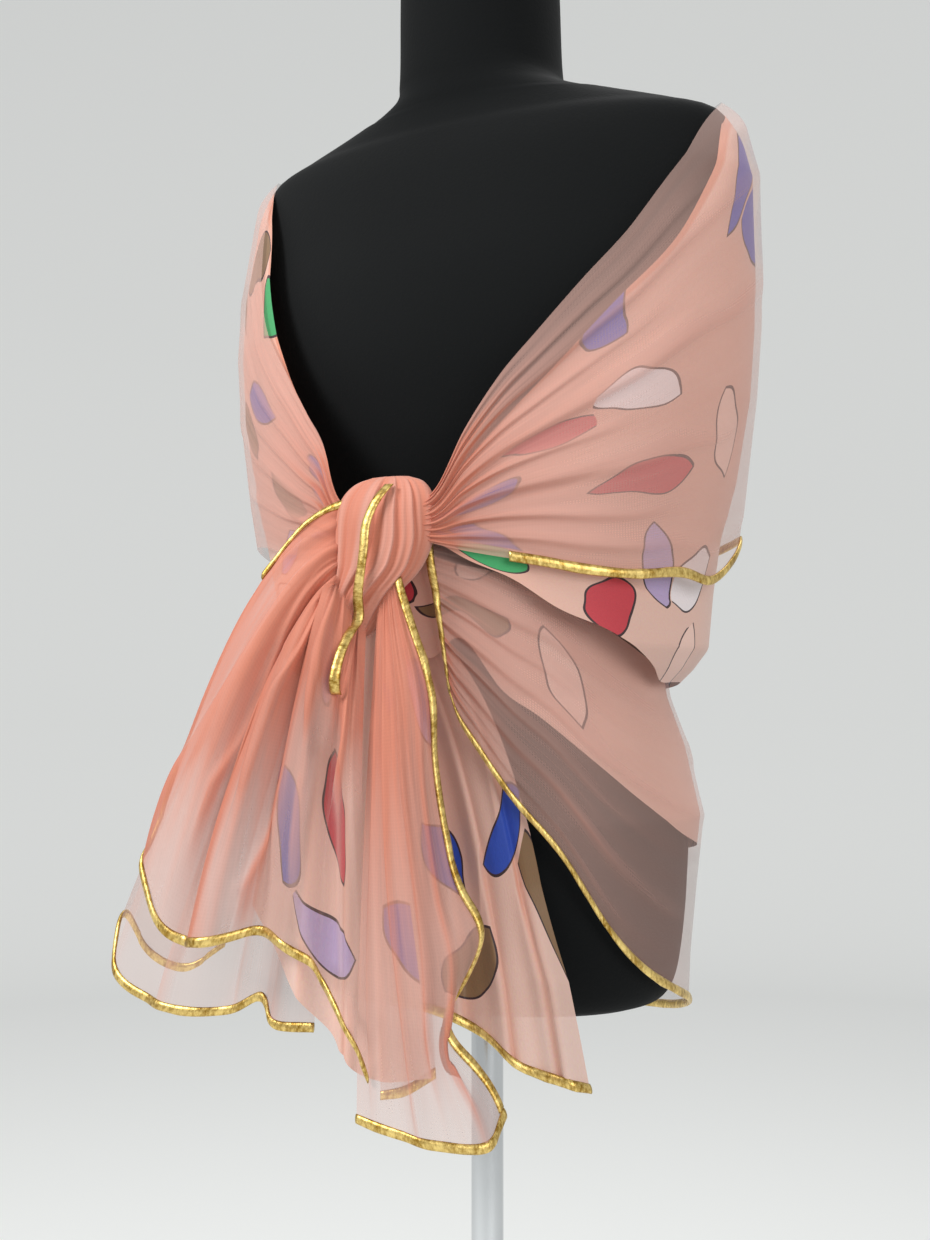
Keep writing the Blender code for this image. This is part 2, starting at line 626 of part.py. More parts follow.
def add_wraps(tulle, printed, gold):
    drape = (DRAPE_ROWS, DRAPE_COLUMNS)
    print_drape = (PRINT_DRAPE_ROWS, DRAPE_COLUMNS)
    outer = wrap_grid(WRAP_TULLE_ROWS, WRAP_COLUMNS, drape, WRAP_PLEATS, 1, 2, 18)
    inner = wrap_grid(WRAP_PRINT_ROWS, WRAP_COLUMNS, print_drape, PRINT_PLEATS, -1, 2, 8)
    add_stretches("wrap_tulle", outer, 2, WRAP_TULLE_SEAMS, TULLE_WALL, tulle)
    add_stretches("wrap_print", inner, 2, WRAP_PRINT_SEAMS, PRINT_WALL, printed)
    near, back, _ = cut_at_seams(outer, 2, WRAP_TULLE_SEAMS)
    add_ribbon("near_wrap_ribbon", near, "hem", -1, TULLE_WALL, gold, first=4)
    add_ribbon("back_wrap_ribbon", back, "hem", -1, TULLE_WALL, gold)


def add_hips(tulle, printed, gold):
    hips = (HIP_ROWS, DRAPE_COLUMNS)
    outer = wrap_grid(HIP_TULLE_ROWS, HIP_SHEET_COLUMNS, hips, HIP_PLEATS, 1, 2, 12)
    inner = wrap_grid(HIP_PRINT_ROWS, HIP_SHEET_COLUMNS, hips, PRINT_PLEATS, -1, 1, 6)
    add_stretches("hip_tulle", outer, 2, HIP_TULLE_SEAMS, TULLE_WALL, tulle)
    add_stretches("hip_print", inner, 1, HIP_PRINT_SEAMS, PRINT_WALL, printed)
    near, back, _ = cut_at_seams(outer, 2, HIP_TULLE_SEAMS)
    add_ribbon("near_hip_front_ribbon", near, "start", -1, TULLE_WALL, gold, first=1)
    add_ribbon("near_hip_ribbon", near, "hem", -1, TULLE_WALL, gold, first=1)
    add_ribbon("back_hip_ribbon", back, "hem", -1, TULLE_WALL, gold)


def add_tails(tulle, printed, gold):
    left_front = tail_grid(LEFT_FRONT_ROWS, 27, 9)
    left_rear = tail_grid(LEFT_REAR_ROWS, 20, 9)
    left_print = tail_grid(LEFT_PRINT_ROWS, 12, 8)
    centre = tail_grid(CENTRE_TULLE_ROWS, 12, 16, CENTRE_BENDS)
    centre_rear = tail_grid(CENTRE_REAR_ROWS, 6, 8)
    right = hold_under_hips(tail_grid(RIGHT_PRINT_ROWS, 14, 10))
    add_wall("left_tail_front_tulle", left_front, TULLE_WALL, tulle)
    add_wall("left_tail_rear_tulle", left_rear, TULLE_WALL, tulle)
    add_wall("left_tail_print", left_print, PRINT_WALL, printed)
    add_wall("centre_tail_tulle", centre, TULLE_WALL, tulle)
    add_wall("centre_tail_rear_tulle", centre_rear, TULLE_WALL, tulle)
    add_wall("right_tail_print", right, PRINT_WALL, printed)
    add_ribbon("left_tail_top_ribbon", left_front, "end", 1, TULLE_WALL, gold, last=5)
    add_ribbon("left_tail_front_ribbon", left_front, "hem", 1, TULLE_WALL, gold)
    add_ribbon("left_tail_rear_ribbon", left_rear, "hem", 1, TULLE_WALL, gold)
    add_ribbon("centre_tail_side_ribbon", centre, "start", 1, TULLE_WALL, gold, first=1, last=-1)
    add_ribbon("centre_tail_ribbon", centre, "hem", 1, TULLE_WALL, gold)
    add_ribbon("centre_tail_rear_ribbon", centre_rear, "hem", 1, TULLE_WALL, gold)
    add_ribbon("right_tail_ribbon", right, "hem", 1, PRINT_WALL, gold)


def main():
    clear_scene()
    tulle = make_material("pink_tulle", TULLE_COLOUR, 0.55)
    printed = make_material("printed_chiffon", PRINT_COLOUR, 0.45)
    gold = make_material("gold_ribbon", GOLD_COLOUR, 0.35, 0.8)
    jersey = make_material("black_jersey", FORM_COLOUR, 0.85)
    steel = make_material("chrome_steel", STEEL_COLOUR, 0.18, 1.0)
    add_form(jersey)
    add_stand(steel)
    add_knot(tulle, gold)
    add_wraps(tulle, printed, gold)
    add_hips(tulle, printed, gold)
    add_tails(tulle, printed, gold)


main()
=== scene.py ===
import math

import bpy
import numpy as np
from mathutils import Matrix, Vector


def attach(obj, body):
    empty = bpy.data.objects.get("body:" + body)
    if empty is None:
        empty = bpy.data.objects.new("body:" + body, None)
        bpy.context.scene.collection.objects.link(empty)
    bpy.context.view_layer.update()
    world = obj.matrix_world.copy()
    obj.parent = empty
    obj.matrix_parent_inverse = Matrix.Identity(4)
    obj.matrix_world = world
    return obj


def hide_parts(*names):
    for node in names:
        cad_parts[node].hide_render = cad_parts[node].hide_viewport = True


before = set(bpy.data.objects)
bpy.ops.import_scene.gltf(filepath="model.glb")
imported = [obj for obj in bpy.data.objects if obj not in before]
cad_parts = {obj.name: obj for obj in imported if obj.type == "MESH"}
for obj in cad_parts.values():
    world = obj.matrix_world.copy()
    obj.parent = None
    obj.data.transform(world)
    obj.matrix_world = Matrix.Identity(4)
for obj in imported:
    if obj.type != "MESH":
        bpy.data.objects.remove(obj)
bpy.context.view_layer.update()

# A sheer pink scarf of two plies, tulle over printed chiffon, on a black dress form.
# Metres, +Z up. The form faces -Y. A turn is in degrees from the front towards the form's left.


# ---- colours and nodes
def linearColour(hexText):
    parts = [int(hexText[i:i + 2], 16) / 255 for i in (1, 3, 5)]
    return tuple(c / 12.92 if c <= 0.04045 else ((c + 0.055) / 1.055) ** 2.4 for c in parts) + (1.0,)


def addNode(tree, kind, settings=None, inputs=None):
    node = tree.nodes.new(kind)
    for name, value in (settings or {}).items():
        setattr(node, name, value)
    for name, value in (inputs or {}).items():
        if isinstance(value, bpy.types.NodeSocket):
            tree.links.new(value, node.inputs[name])
        else:
            node.inputs[name].default_value = value
    return node


def newMaterial(name):
    material = bpy.data.materials.new(name)
    material.use_nodes = True
    return material, material.node_tree, material.node_tree.nodes["Principled BSDF"]


def mathNode(tree, operation, a, b=None, clamp=False):
    inputs = {0: a} if b is None else {0: a, 1: b}
    return addNode(tree, "ShaderNodeMath", {"operation": operation, "use_clamp": clamp}, inputs).outputs[0]


def mixColour(tree, factor, first, second, blend="MIX"):
    node = addNode(tree, "ShaderNodeMix", {"data_type": "RGBA", "blend_type": blend},
                   {0: factor, 6: first, 7: second})
    return node.outputs[2]


def noiseNode(tree, place, scale, detail, rough=0.5, dimensions="2D"):
    return addNode(tree, "ShaderNodeTexNoise", {"noise_dimensions": dimensions},
                   {"Vector": place, "Scale": scale, "Detail": detail, "Roughness": rough}).outputs


def vectorNode(tree, operation, inputs, output="Vector"):
    return addNode(tree, "ShaderNodeVectorMath", {"operation": operation}, inputs).outputs[output]


def rangeNode(tree, value, start, end, low=0.0, high=1.0):
    return addNode(tree, "ShaderNodeMapRange", {}, {0: value, 1: start, 2: end, 3: low, 4: high}).outputs[0]


def attributeNode(tree, name):
    return addNode(tree, "ShaderNodeAttribute", {"attribute_name": name}).outputs["Fac"]


def scaled(tree, value, middle, factor, clamp=False):
    return mathNode(tree, "MULTIPLY", mathNode(tree, "SUBTRACT", value, middle), factor, clamp)


# Links the colour and the relief, and sets the plain values of a look
def finishShader(tree, shader, look, colour, relief=None):
    tree.links.new(colour, shader.inputs["Base Color"])
    if relief is not None:
        bump = addNode(tree, "ShaderNodeBump", {},
                       {"Strength": look["bump"], "Distance": look["bumpMm"] / 1000, "Height": relief})
        tree.links.new(bump.outputs[0], shader.inputs["Normal"])
    for name, value in look["finish"].items():
        shader.inputs[name].default_value = value


threadLook = {
    "alongPerMetre": 5.0,
    "detail": 3.0,
    "rough": 0.6,
    "evenBelow": 0.9,      # gather up to which the threads lie evenly
    "crowdRise": 0.5,
    "swing": 1.7,
    "least": 0.3,
}


# How dense a ply looks: threads crowd together where the cloth is gathered
def coverNodes(tree, look, uv):
    gather = attributeNode(tree, "gather")
    stretched = addNode(tree, "ShaderNodeMapping", {},
                        {"Vector": uv, "Scale": (threadLook["alongPerMetre"], look["streaksPerMetre"], 1.0)})
    noise = noiseNode(tree, stretched.outputs[0], 1.0, threadLook["detail"], threadLook["rough"])["Fac"]
    crowd = scaled(tree, gather, threadLook["evenBelow"], threadLook["crowdRise"], True)
    swing = scaled(tree, noise, 0.5, threadLook["swing"])
    uneven = mathNode(tree, "ADD", mathNode(tree, "MULTIPLY", swing, crowd), 1.0)
    threads = mathNode(tree, "MULTIPLY", gather, mathNode(tree, "MAXIMUM", uneven, threadLook["least"]))
    through = mathNode(tree, "POWER", look["open"], threads)
    return mathNode(tree, "SUBTRACT", 1.0, through), noise


# On the knot the tone field also holds painted shade in the pleat valleys and painted highlight on the ridges
def groundColour(tree, look, noise):
    uneven = scaled(tree, noise, 0.5, look["toneSwing"])
    depth = mathNode(tree, "ADD", attributeNode(tree, "tone"), uneven, True)
    return mixColour(tree, depth, linearColour(look["light"]), linearColour(look["deep"]))


# Nylon tulle: a hexagonal net that lets the black form show through as a mauve haze
tulleLook = {
    "light": "#E3BDB1",
    "deep": "#D18168",
    "toneSwing": 0.3,
    "open": 0.72,          # share that one flat ply lets through
    "netPitchMm": 2.3,     # the real net is 0.8 mm, drawn as coarse as it needs to show
    "netUneven": 0.15,
    "netThread": 1.03,
    "netHole": 0.16,
    "streaksPerMetre": 80.0,
    "bump": 0.25,
    "bumpMm": 1.5,
    "finish": {"Roughness": 0.62, "Sheen Weight": 0.25, "Sheen Roughness": 0.45, "Specular IOR Level": 0.3},
}


def makeTulle():
    look = tulleLook
    material, tree, shader = newMaterial("nylonTulleNet")
    uv = addNode(tree, "ShaderNodeTexCoord").outputs["UV"]
    cover, noise = coverNodes(tree, look, uv)
    net = addNode(tree, "ShaderNodeTexVoronoi", {"voronoi_dimensions": "2D", "feature": "DISTANCE_TO_EDGE"},
                  {"Vector": uv, "Scale": 1000.0 / look["netPitchMm"], "Randomness": look["netUneven"]})
    hole = mathNode(tree, "MULTIPLY", net.outputs["Distance"], look["netHole"])
    netted = mathNode(tree, "MULTIPLY", cover, mathNode(tree, "SUBTRACT", look["netThread"], hole), True)
    tree.links.new(netted, shader.inputs["Alpha"])
    finishShader(tree, shader, look, groundColour(tree, look, noise), noise)
    return material


# Printed polyester chiffon: soft, nearly closed weave with scattered outlined shapes
chiffonLook = {
    "light": "#EAC4B5",
    "deep": "#DC9276",
    "toneSwing": 0.2,
    "open": 0.12,
    "streaksPerMetre": 60.0,
    "outline": "#3A2528",
    "outlineMm": 1.7,
    "cellMm": 98.0,        # one shape to a cell
    "cellUneven": 0.72,
    "wobble": 0.022,
    "wobblesPerMetre": 16.0,
    "pebble": (0.036, 0.023),              # half length and half width
    "halfMoon": (0.037, 0.031, 0.003),     # the same, and where it is cut off
    "leaf": (0.056, 0.037),                # arc and its shift
    "kinds": (0.34, 0.56, 0.88),           # pebbles below the first, moons, leaves, then bare cells
    "weaveMm": 1.9,        # the real weave is 0.3 mm, drawn as coarse as it needs to show
    "weaveShare": 0.10,
    "bump": 0.2,
    "bumpMm": 1.2,
    "finish": {"Roughness": 0.5, "Sheen Weight": 0.15, "Specular IOR Level": 0.35},
}
printColours = [
    (0.00, "#2F4FB4"),
    (0.22, "#F3E9EA"),
    (0.36, "#3DA463"),
    (0.50, "#C9404A"),
    (0.62, "#8A6B4C"),
    (0.74, "#BBA6CC"),
    (0.86, "#F4CDBE"),
]


def ovalDistance(tree, local, halfLong, halfWide):
    squeezed = vectorNode(tree, "MULTIPLY", {0: local, 1: (1 / halfLong, 1 / halfWide, 0.0)})
    return scaled(tree, vectorNode(tree, "LENGTH", {0: squeezed}, "Value"), 1.0, halfWide)


def leafDistance(tree, split, arc, shift):
    far = mathNode(tree, "ADD", mathNode(tree, "ABSOLUTE", split["Y"]), shift)
    corner = addNode(tree, "ShaderNodeCombineXYZ", {}, {0: split["X"], 1: far}).outputs[0]
    return mathNode(tree, "SUBTRACT", vectorNode(tree, "LENGTH", {0: corner}, "Value"), arc)


def pick(tree, chooser, limit, below, above):
    late = mathNode(tree, "GREATER_THAN", chooser, limit)
    node = addNode(tree, "ShaderNodeMix", {"data_type": "FLOAT"}, {0: late, 2: below, 3: above})
    return node.outputs[0]


# Distance to the edge of a cell's shape, below 0 inside it, and the cell's colour
def printNodes(tree, look, uv):
    wobble = noiseNode(tree, uv, look["wobblesPerMetre"], 1.0)["Color"]
    wander = vectorNode(tree, "MULTIPLY_ADD", {0: wobble, 1: (look["wobble"], look["wobble"], 0.0), 2: uv})
    cells = addNode(tree, "ShaderNodeTexVoronoi", {"voronoi_dimensions": "2D"},
                    {"Vector": wander, "Scale": 1000.0 / look["cellMm"], "Randomness": look["cellUneven"]})
    draw = addNode(tree, "ShaderNodeSeparateColor", {}, {0: cells.outputs["Color"]}).outputs
    local = vectorNode(tree, "SUBTRACT", {0: wander, 1: cells.outputs["Position"]})
    turned = addNode(tree, "ShaderNodeVectorRotate", {"rotation_type": "Z_AXIS"},
                     {"Vector": local, "Angle": mathNode(tree, "MULTIPLY", draw["Red"], math.tau)}).outputs[0]
    split = addNode(tree, "ShaderNodeSeparateXYZ", {}, {0: turned}).outputs
    halfLong, halfWide, cut = look["halfMoon"]
    pebble = ovalDistance(tree, turned, *look["pebble"])
    halfMoon = mathNode(tree, "MAXIMUM", ovalDistance(tree, turned, halfLong, halfWide),
                        mathNode(tree, "SUBTRACT", split["Y"], cut))
    leaf = leafDistance(tree, split, *look["leaf"])
    first, second, third = look["kinds"]
    shape = pick(tree, draw["Green"], first, pebble, pick(tree, draw["Green"], second, halfMoon, leaf))
    shape = pick(tree, draw["Green"], third, shape, 1.0)
    ramp = addNode(tree, "ShaderNodeValToRGB", {}, {0: draw["Blue"]})
    ramp.color_ramp.interpolation = "CONSTANT"
    marks = ramp.color_ramp.elements
    while len(marks) < len(printColours):
        marks.new(0.5)
    for mark, (position, colour) in zip(marks, printColours):
        mark.position = position
        mark.color = linearColour(colour)
    return shape, ramp.outputs[0]


def makeChiffon():
    look = chiffonLook
    material, tree, shader = newMaterial("printedPolyesterChiffon")
    uv = addNode(tree, "ShaderNodeTexCoord").outputs["UV"]
    cover, noise = coverNodes(tree, look, uv)
    shape, ink = printNodes(tree, look, uv)
    inside = mathNode(tree, "LESS_THAN", shape, 0.0)
    filled = mathNode(tree, "LESS_THAN", shape, -look["outlineMm"] / 1000)
    inked = mixColour(tree, inside, groundColour(tree, look, noise), linearColour(look["outline"]))
    colour = mixColour(tree, filled, inked, ink)
    weave = noiseNode(tree, uv, 1000.0 / look["weaveMm"], 2.0)
    toned = mixColour(tree, look["weaveShare"], colour, weave["Color"], "OVERLAY")
    tree.links.new(cover, shader.inputs["Alpha"])
    finishShader(tree, shader, look, toned, weave["Fac"])
    return material


# Metallised lurex braid: small slanting stitches, with painted glints one by one and painted shade where it
# twists, from dark to bright gold
goldLook = {
    # bright is the gold of the painted glints and highlights, dark the gold in painted shade
    "bright": "#EFD283",
    "dark": "#96701F",
    "bandMm": 6.3133,
    "bandBend": 3.0,
    "bandShare": 0.12,
    "glintsPerMetre": 520.0,
    "paintedTwistShadesPerMetre": 60.0,
    "level": 0.52,
    "spark": (0.40, 0.68),
    "rough": (0.22, 0.5),
    "bump": 0.6,
    "bumpMm": 0.6,
    "finish": {"Metallic": 0.85},
}


def makeGold():
    look = goldLook
    material, tree, shader = newMaterial("goldLurexBraid")
    uv = addNode(tree, "ShaderNodeTexCoord").outputs["UV"]
    bands = addNode(tree, "ShaderNodeTexWave", {"wave_type": "BANDS", "bands_direction": "DIAGONAL"},
                    {"Vector": uv, "Scale": 100 * math.tau / look["bandMm"], "Distortion": look["bandBend"],
                     "Detail": 2.0}).outputs["Fac"]
    glint = noiseNode(tree, uv, look["glintsPerMetre"], 3.0, 0.7)["Fac"]
    # painted shade of the braid's twist, in broad light and dark patches
    paintedTwistShade = noiseNode(tree, uv, look["paintedTwistShadesPerMetre"], 2.0)["Fac"]
    fine = mathNode(tree, "ADD", mathNode(tree, "MULTIPLY", bands, look["bandShare"]), glint)
    relief = mathNode(tree, "MULTIPLY", mathNode(tree, "ADD", fine, paintedTwistShade), look["level"], True)
    # Painted glints and painted shade: the colour runs from dark to bright gold with the stitches, the glints
    # and the twist
    spark = rangeNode(tree, relief, *look["spark"])
    colour = mixColour(tree, spark, linearColour(look["dark"]), linearColour(look["bright"]))
    tree.links.new(rangeNode(tree, glint, 0.0, 1.0, *look["rough"]), shader.inputs["Roughness"])
    finishShader(tree, shader, look, colour, relief)
    return material


# Cotton jersey cover: a matt black knit that shows a little lint and rubbed grey
jerseyLook = {
    "black": "#030506",
    "worn": "#080A0B",
    "wornPerMetre": 9.0,
    "ribMm": 2.4,
    "bump": 0.22,
    "bumpMm": 1.0,
    "finish": {"Roughness": 0.93, "Specular IOR Level": 0.22, "Sheen Weight": 0.02},
}


def makeJersey():
    look = jerseyLook
    material, tree, shader = newMaterial("blackCottonJersey")
    place = addNode(tree, "ShaderNodeTexCoord").outputs["Object"]
    worn = noiseNode(tree, place, look["wornPerMetre"], 4.0, dimensions="3D")["Fac"]
    knit = noiseNode(tree, place, 1000.0 / look["ribMm"], 2.0, dimensions="3D")["Fac"]
    colour = mixColour(tree, worn, linearColour(look["black"]), linearColour(look["worn"]))
    finishShader(tree, shader, look, colour, knit)
    return material


# Chromed steel: mirror-bright tube with fine handling smears
steelLook = {
    "dull": "#C3C6C9",
    "bright": "#D9DBDD",
    "smearsPerMetre": 14.0,
    "rough": (0.08, 0.26),
    "finish": {"Metallic": 1.0},
}


def makeSteel():
    look = steelLook
    material, tree, shader = newMaterial("polishedChromedSteel")
    place = addNode(tree, "ShaderNodeTexCoord").outputs["Object"]
    smear = noiseNode(tree, place, look["smearsPerMetre"], 5.0, dimensions="3D")["Fac"]
    tree.links.new(rangeNode(tree, smear, 0.0, 1.0, *look["rough"]), shader.inputs["Roughness"])
    colour = mixColour(tree, smear, linearColour(look["dull"]), linearColour(look["bright"]))
    finishShader(tree, shader, look, colour)
    return material


tulle = makeTulle()
chiffon = makeChiffon()
gold = makeGold()
jersey = makeJersey()
steel = makeSteel()
print("materials ready")


# ---- shapes
def columnOf(rows, columns, name):
    return np.array([row[columns.index(name)] for row in rows], float)


# The other columns of a table at a height, on straight lines between its rows
def readAt(z, rows, columns):
    heights = columnOf(rows, columns, "z")
    return [np.interp(z, heights, columnOf(rows, columns, name)) for name in columns[1:]]


# A smooth curve through evenly spaced values, read at places counted in rows
def curveThrough(values, places):
    values = np.asarray(values, float)
    last = len(values) - 1
    low = np.clip(np.floor(places).astype(int), 0, last - 1)
    part = places - low
    before = np.where(low > 0, values[np.maximum(low - 1, 0)], 2 * values[0] - values[1])
    after = np.where(low + 2 <= last, values[np.minimum(low + 2, last)], 2 * values[last] - values[last - 1])
    here, there = values[low], values[low + 1]
    return here + 0.5 * part * (there - before + part * (
        2 * before - 5 * here + 4 * there - after + part * (3 * (here - there) + after - before)))


def readRows(rows, columns, places):
    return {name: curveThrough(columnOf(rows, columns, name), places) for name in columns}


def ovalRadius(turn, nearWidth, farWidth, front, back, power=2.0):
    depth = np.where(np.cos(turn) > 0, front, back)
    width = np.where(np.sin(turn) > 0, nearWidth, farWidth)
    return ((np.abs(np.sin(turn)) / width) ** power + (np.abs(np.cos(turn)) / depth) ** power) ** (-1.0 / power)


def shellRadius(rows, turn, z):
    return ovalRadius(turn, *readAt(z, rows, drapeColumns))


def placeAt(turn, radius, z):
    return np.stack([radius * np.sin(turn), -radius * np.cos(turn), z], axis=-1)


def gridNormals(grid):
    normals = np.cross(np.gradient(grid, axis=0), np.gradient(grid, axis=1))
    return normals / np.maximum(np.linalg.norm(normals, axis=2, keepdims=True), 1e-12)


def spreadOf(grid):
    return np.linalg.norm(np.cross(np.gradient(grid, axis=0), np.gradient(grid, axis=1)), axis=2)


def lengthAlong(line):
    steps = np.linalg.norm(np.diff(line, axis=0), axis=1)
    return np.concatenate([[0.0], np.cumsum(steps)])


foldForm = {
    "fade": 0.15,          # how far a fold goes on beyond its ends
    "steep": 0.42,         # width of the steep side over the long one
    "lip": (-0.9, 0.0, 0.15, 0.35),    # offsets between which the cloth comes to lie over, and ends
    "swayTurns": 5.2,
    "swayApart": 19.0,
}


# Folds that run away from the knot. A crease has the two ends of its run, its share of the cloth's
# width at each end, its own width and its two depths. It lies over: one long slope and one short
# steep one, and under its lip the net is seen through more than once.
def creaseField(creases, run, share, sway=0.0, foldCover=200.0):
    height, layers = np.zeros_like(share), np.zeros_like(share)
    for start, end, startShare, endShare, wide, startDeep, endDeep in creases:
        part = (run - start) / (end - start)
        inside = np.clip(part, 0, 1)
        middle = startShare + (endShare - startShare) * inside
        swing = np.sin(foldForm["swayTurns"] * inside + foldForm["swayApart"] * startShare)
        middle = middle + sway * swing * inside
        beyond = np.maximum(np.maximum(-part, part - 1), 0)
        deep = (startDeep + (endDeep - startDeep) * inside) * np.exp(-(beyond / foldForm["fade"]) ** 2)
        offset = (share - middle) / wide
        height += deep * np.exp(-np.where(offset > 0, offset / foldForm["steep"], offset) ** 2)
        layers += np.abs(deep) * np.interp(offset, foldForm["lip"], (0, 1, 1, 0)) * foldCover
    return height, layers


gatherForm = {"place": (0.2, 0.8), "reach": (0.45, 1.0), "drift": 0.015, "deep": (0.5, 1.0)}


# Small gathers, close together at the knot and gone by the end of their run
def fineGathers(seed, count, start, end, deep, wide):
    dice = np.random.default_rng(seed)
    rows = []
    for i in range(count):
        share = (i + dice.uniform(*gatherForm["place"])) / count
        reach = start + (end - start) * dice.uniform(*gatherForm["reach"])
        rows.append((start, reach, share, share + dice.normal(0, gatherForm["drift"]), dice.uniform(*wide),
                     deep * dice.uniform(*gatherForm["deep"]), 0.0))
    return rows


def assign(piece, nodes):
    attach(piece, "root")
    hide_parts(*nodes)


def finishPiece(name, mesh, material, nodes):
    mesh.materials.append(material)
    piece = bpy.data.objects.new(name, mesh)
    bpy.context.scene.collection.objects.link(piece)
    mesh.polygons.foreach_set("use_smooth", [True] * len(mesh.polygons))
    mesh.update()
    assign(piece, nodes)
    return piece


def newMesh(name, points, faces):
    mesh = bpy.data.meshes.new(name)
    mesh.from_pydata(points.reshape(-1, 3).tolist(), [], faces)
    return mesh


def quadGrid(rows, columns):
    index = np.arange(rows * columns).reshape(rows, columns)
    corners = np.stack([index[:-1, :-1], index[:-1, 1:], index[1:, 1:], index[1:, :-1]], axis=-1)
    return corners.reshape(-1, 4).tolist()


def ringFaces(count, sides):
    return [(i * sides + k, i * sides + (k + 1) % sides, (i + 1) * sides + (k + 1) % sides, (i + 1) * sides + k)
            for i in range(count - 1) for k in range(sides)]


def setUv(mesh, flat):
    corners = np.empty(len(mesh.loops), int)
    mesh.loops.foreach_get("vertex_index", corners)
    mesh.uv_layers.new(name="UVMap").data.foreach_set("uv", flat.reshape(-1, 2)[corners].ravel())


def setField(mesh, name, values):
    mesh.attributes.new(name, "FLOAT", "POINT").data.foreach_set("value", np.asarray(values, float).ravel())


clothForm = {
    "crowdMost": 8.0,
    "crowdPower": 0.62,
    "slopeMost": 1.8,
    "gatherLeast": 0.3,
    "toneRise": 0.30,
}


# A ply of cloth through a grid: first index away from the knot, second across the cloth. Its flat
# cloth is as wide as the ply is cut, so how densely it is gathered follows from the grid.
def makeCloth(name, grid, base, shape, layers, material, nodes, fadeRoot=0):
    middle = lengthAlong(base[:, base.shape[1] // 2])
    across = np.linspace(0, shape["flatWidth"], base.shape[1])
    flat = np.stack(np.meshgrid(middle, across, indexing="ij"), axis=-1)
    mesh = newMesh(name, grid, quadGrid(*grid.shape[:2]))
    setUv(mesh, flat + np.array(shape.get("printShift", (0, 0))))
    cell = np.abs(np.gradient(flat[..., 0], axis=0) * np.gradient(flat[..., 1], axis=1))
    small = np.maximum(spreadOf(base), 1e-9)
    crowd = np.clip(cell / small, 1.0, clothForm["crowdMost"]) ** clothForm["crowdPower"]
    slope = np.clip(spreadOf(grid) / small, 1.0, clothForm["slopeMost"])
    gather = np.maximum(crowd * slope + layers, clothForm["gatherLeast"])
    tone = np.clip((gather - 1) * clothForm["toneRise"], 0, 1)
    if fadeRoot:
        gather[:fadeRoot] *= np.linspace(0, 1, fadeRoot)[:, None]
    setField(mesh, "gather", gather)
    setField(mesh, "tone", tone)
    return finishPiece(name, mesh, material, nodes)


# A running mean along a line, which keeps its two ends
def evenOut(data, reach):
    count = len(data)
    spots = np.arange(count)
    room = np.minimum(np.minimum(spots, count - 1 - spots), reach)
    sums = np.concatenate([np.zeros((1, 3)), np.cumsum(data, axis=0)])
    return (sums[spots + room + 1] - sums[spots - room]) / (2 * room + 1)[:, None]


def unit(vectors):
    return vectors / np.maximum(np.linalg.norm(vectors, axis=1, keepdims=True), 1e-9)


# A rolled gold edge: a flat oval tube that closes round the cloth's edge
ribbonSize = {
    "halfWidth": 0.0034,
    "halfThick": 0.0015,
    "sides": 10,
    "step": 0.0022,
    "inset": 0.0014,
    "lift": 0.0010,
    "wave": 0.0003,
    "wideSwing": 0.05,
    "thickSwing": 0.06,
    "evenLine": 3,
    "evenSide": 7,
    "halfFlat": 0.0055,
}


def makeRibbon(name, line, inward, normal, nodes):
    size = ribbonSize
    total = lengthAlong(line)
    count = max(int(total[-1] / size["step"]), 12)
    spots = np.linspace(0, total[-1], count)
    centre, across, up = [
        evenOut(np.stack([np.interp(spots, total, data[:, k]) for k in range(3)], axis=1), reach)
        for data, reach in ((line, size["evenLine"]), (inward, size["evenSide"]), (normal, size["evenSide"]))]
    across = unit(across)
    up = unit(up - across * np.sum(up * across, axis=1, keepdims=True))
    dice = np.random.default_rng(len(name) * 31 + count)
    knots = max(count // 5, 4)
    ripple = np.interp(spots, np.linspace(0, total[-1], knots), dice.normal(0, 1, knots))
    outward = np.where(np.sum(up[:, :2] * centre[:, :2], axis=1, keepdims=True) < 0, -1.0, 1.0)
    centre = centre + across * size["inset"] + up * (size["wave"] * ripple)[:, None]
    centre = centre + up * outward * size["lift"]
    points, flat = [], []
    sides = size["sides"]
    for k in range(sides):
        angle = math.tau * k / sides
        wide = size["halfWidth"] * (1 + size["wideSwing"] * ripple) * math.cos(angle)
        thick = size["halfThick"] * (1 + size["thickSwing"] * ripple) * math.sin(angle)
        points.append(centre + across * wide[:, None] + up * thick[:, None])
        flat.append(np.stack([spots, np.full(count, size["halfFlat"] * abs(2 * k / sides - 1))], axis=1))
    ends = [tuple(range(sides - 1, -1, -1)), tuple(range((count - 1) * sides, count * sides))]
    mesh = newMesh(name, np.stack(points, axis=1), ringFaces(count, sides) + ends)
    setUv(mesh, np.stack(flat, axis=1))
    return finishPiece(name, mesh, gold, nodes)


# Gold along one edge of a grid: its first or last row, or its last column
def edgeRibbon(name, grid, edge, nodes, first=0, last=None):
    at, beside = {"start": (0, 1), "end": (-1, -2), "hem": (np.s_[:, -1], np.s_[:, -2])}[edge]
    cut = slice(first, last)
    return makeRibbon(name, grid[at][cut], (grid[beside] - grid[at])[cut], gridNormals(grid)[at][cut], nodes)


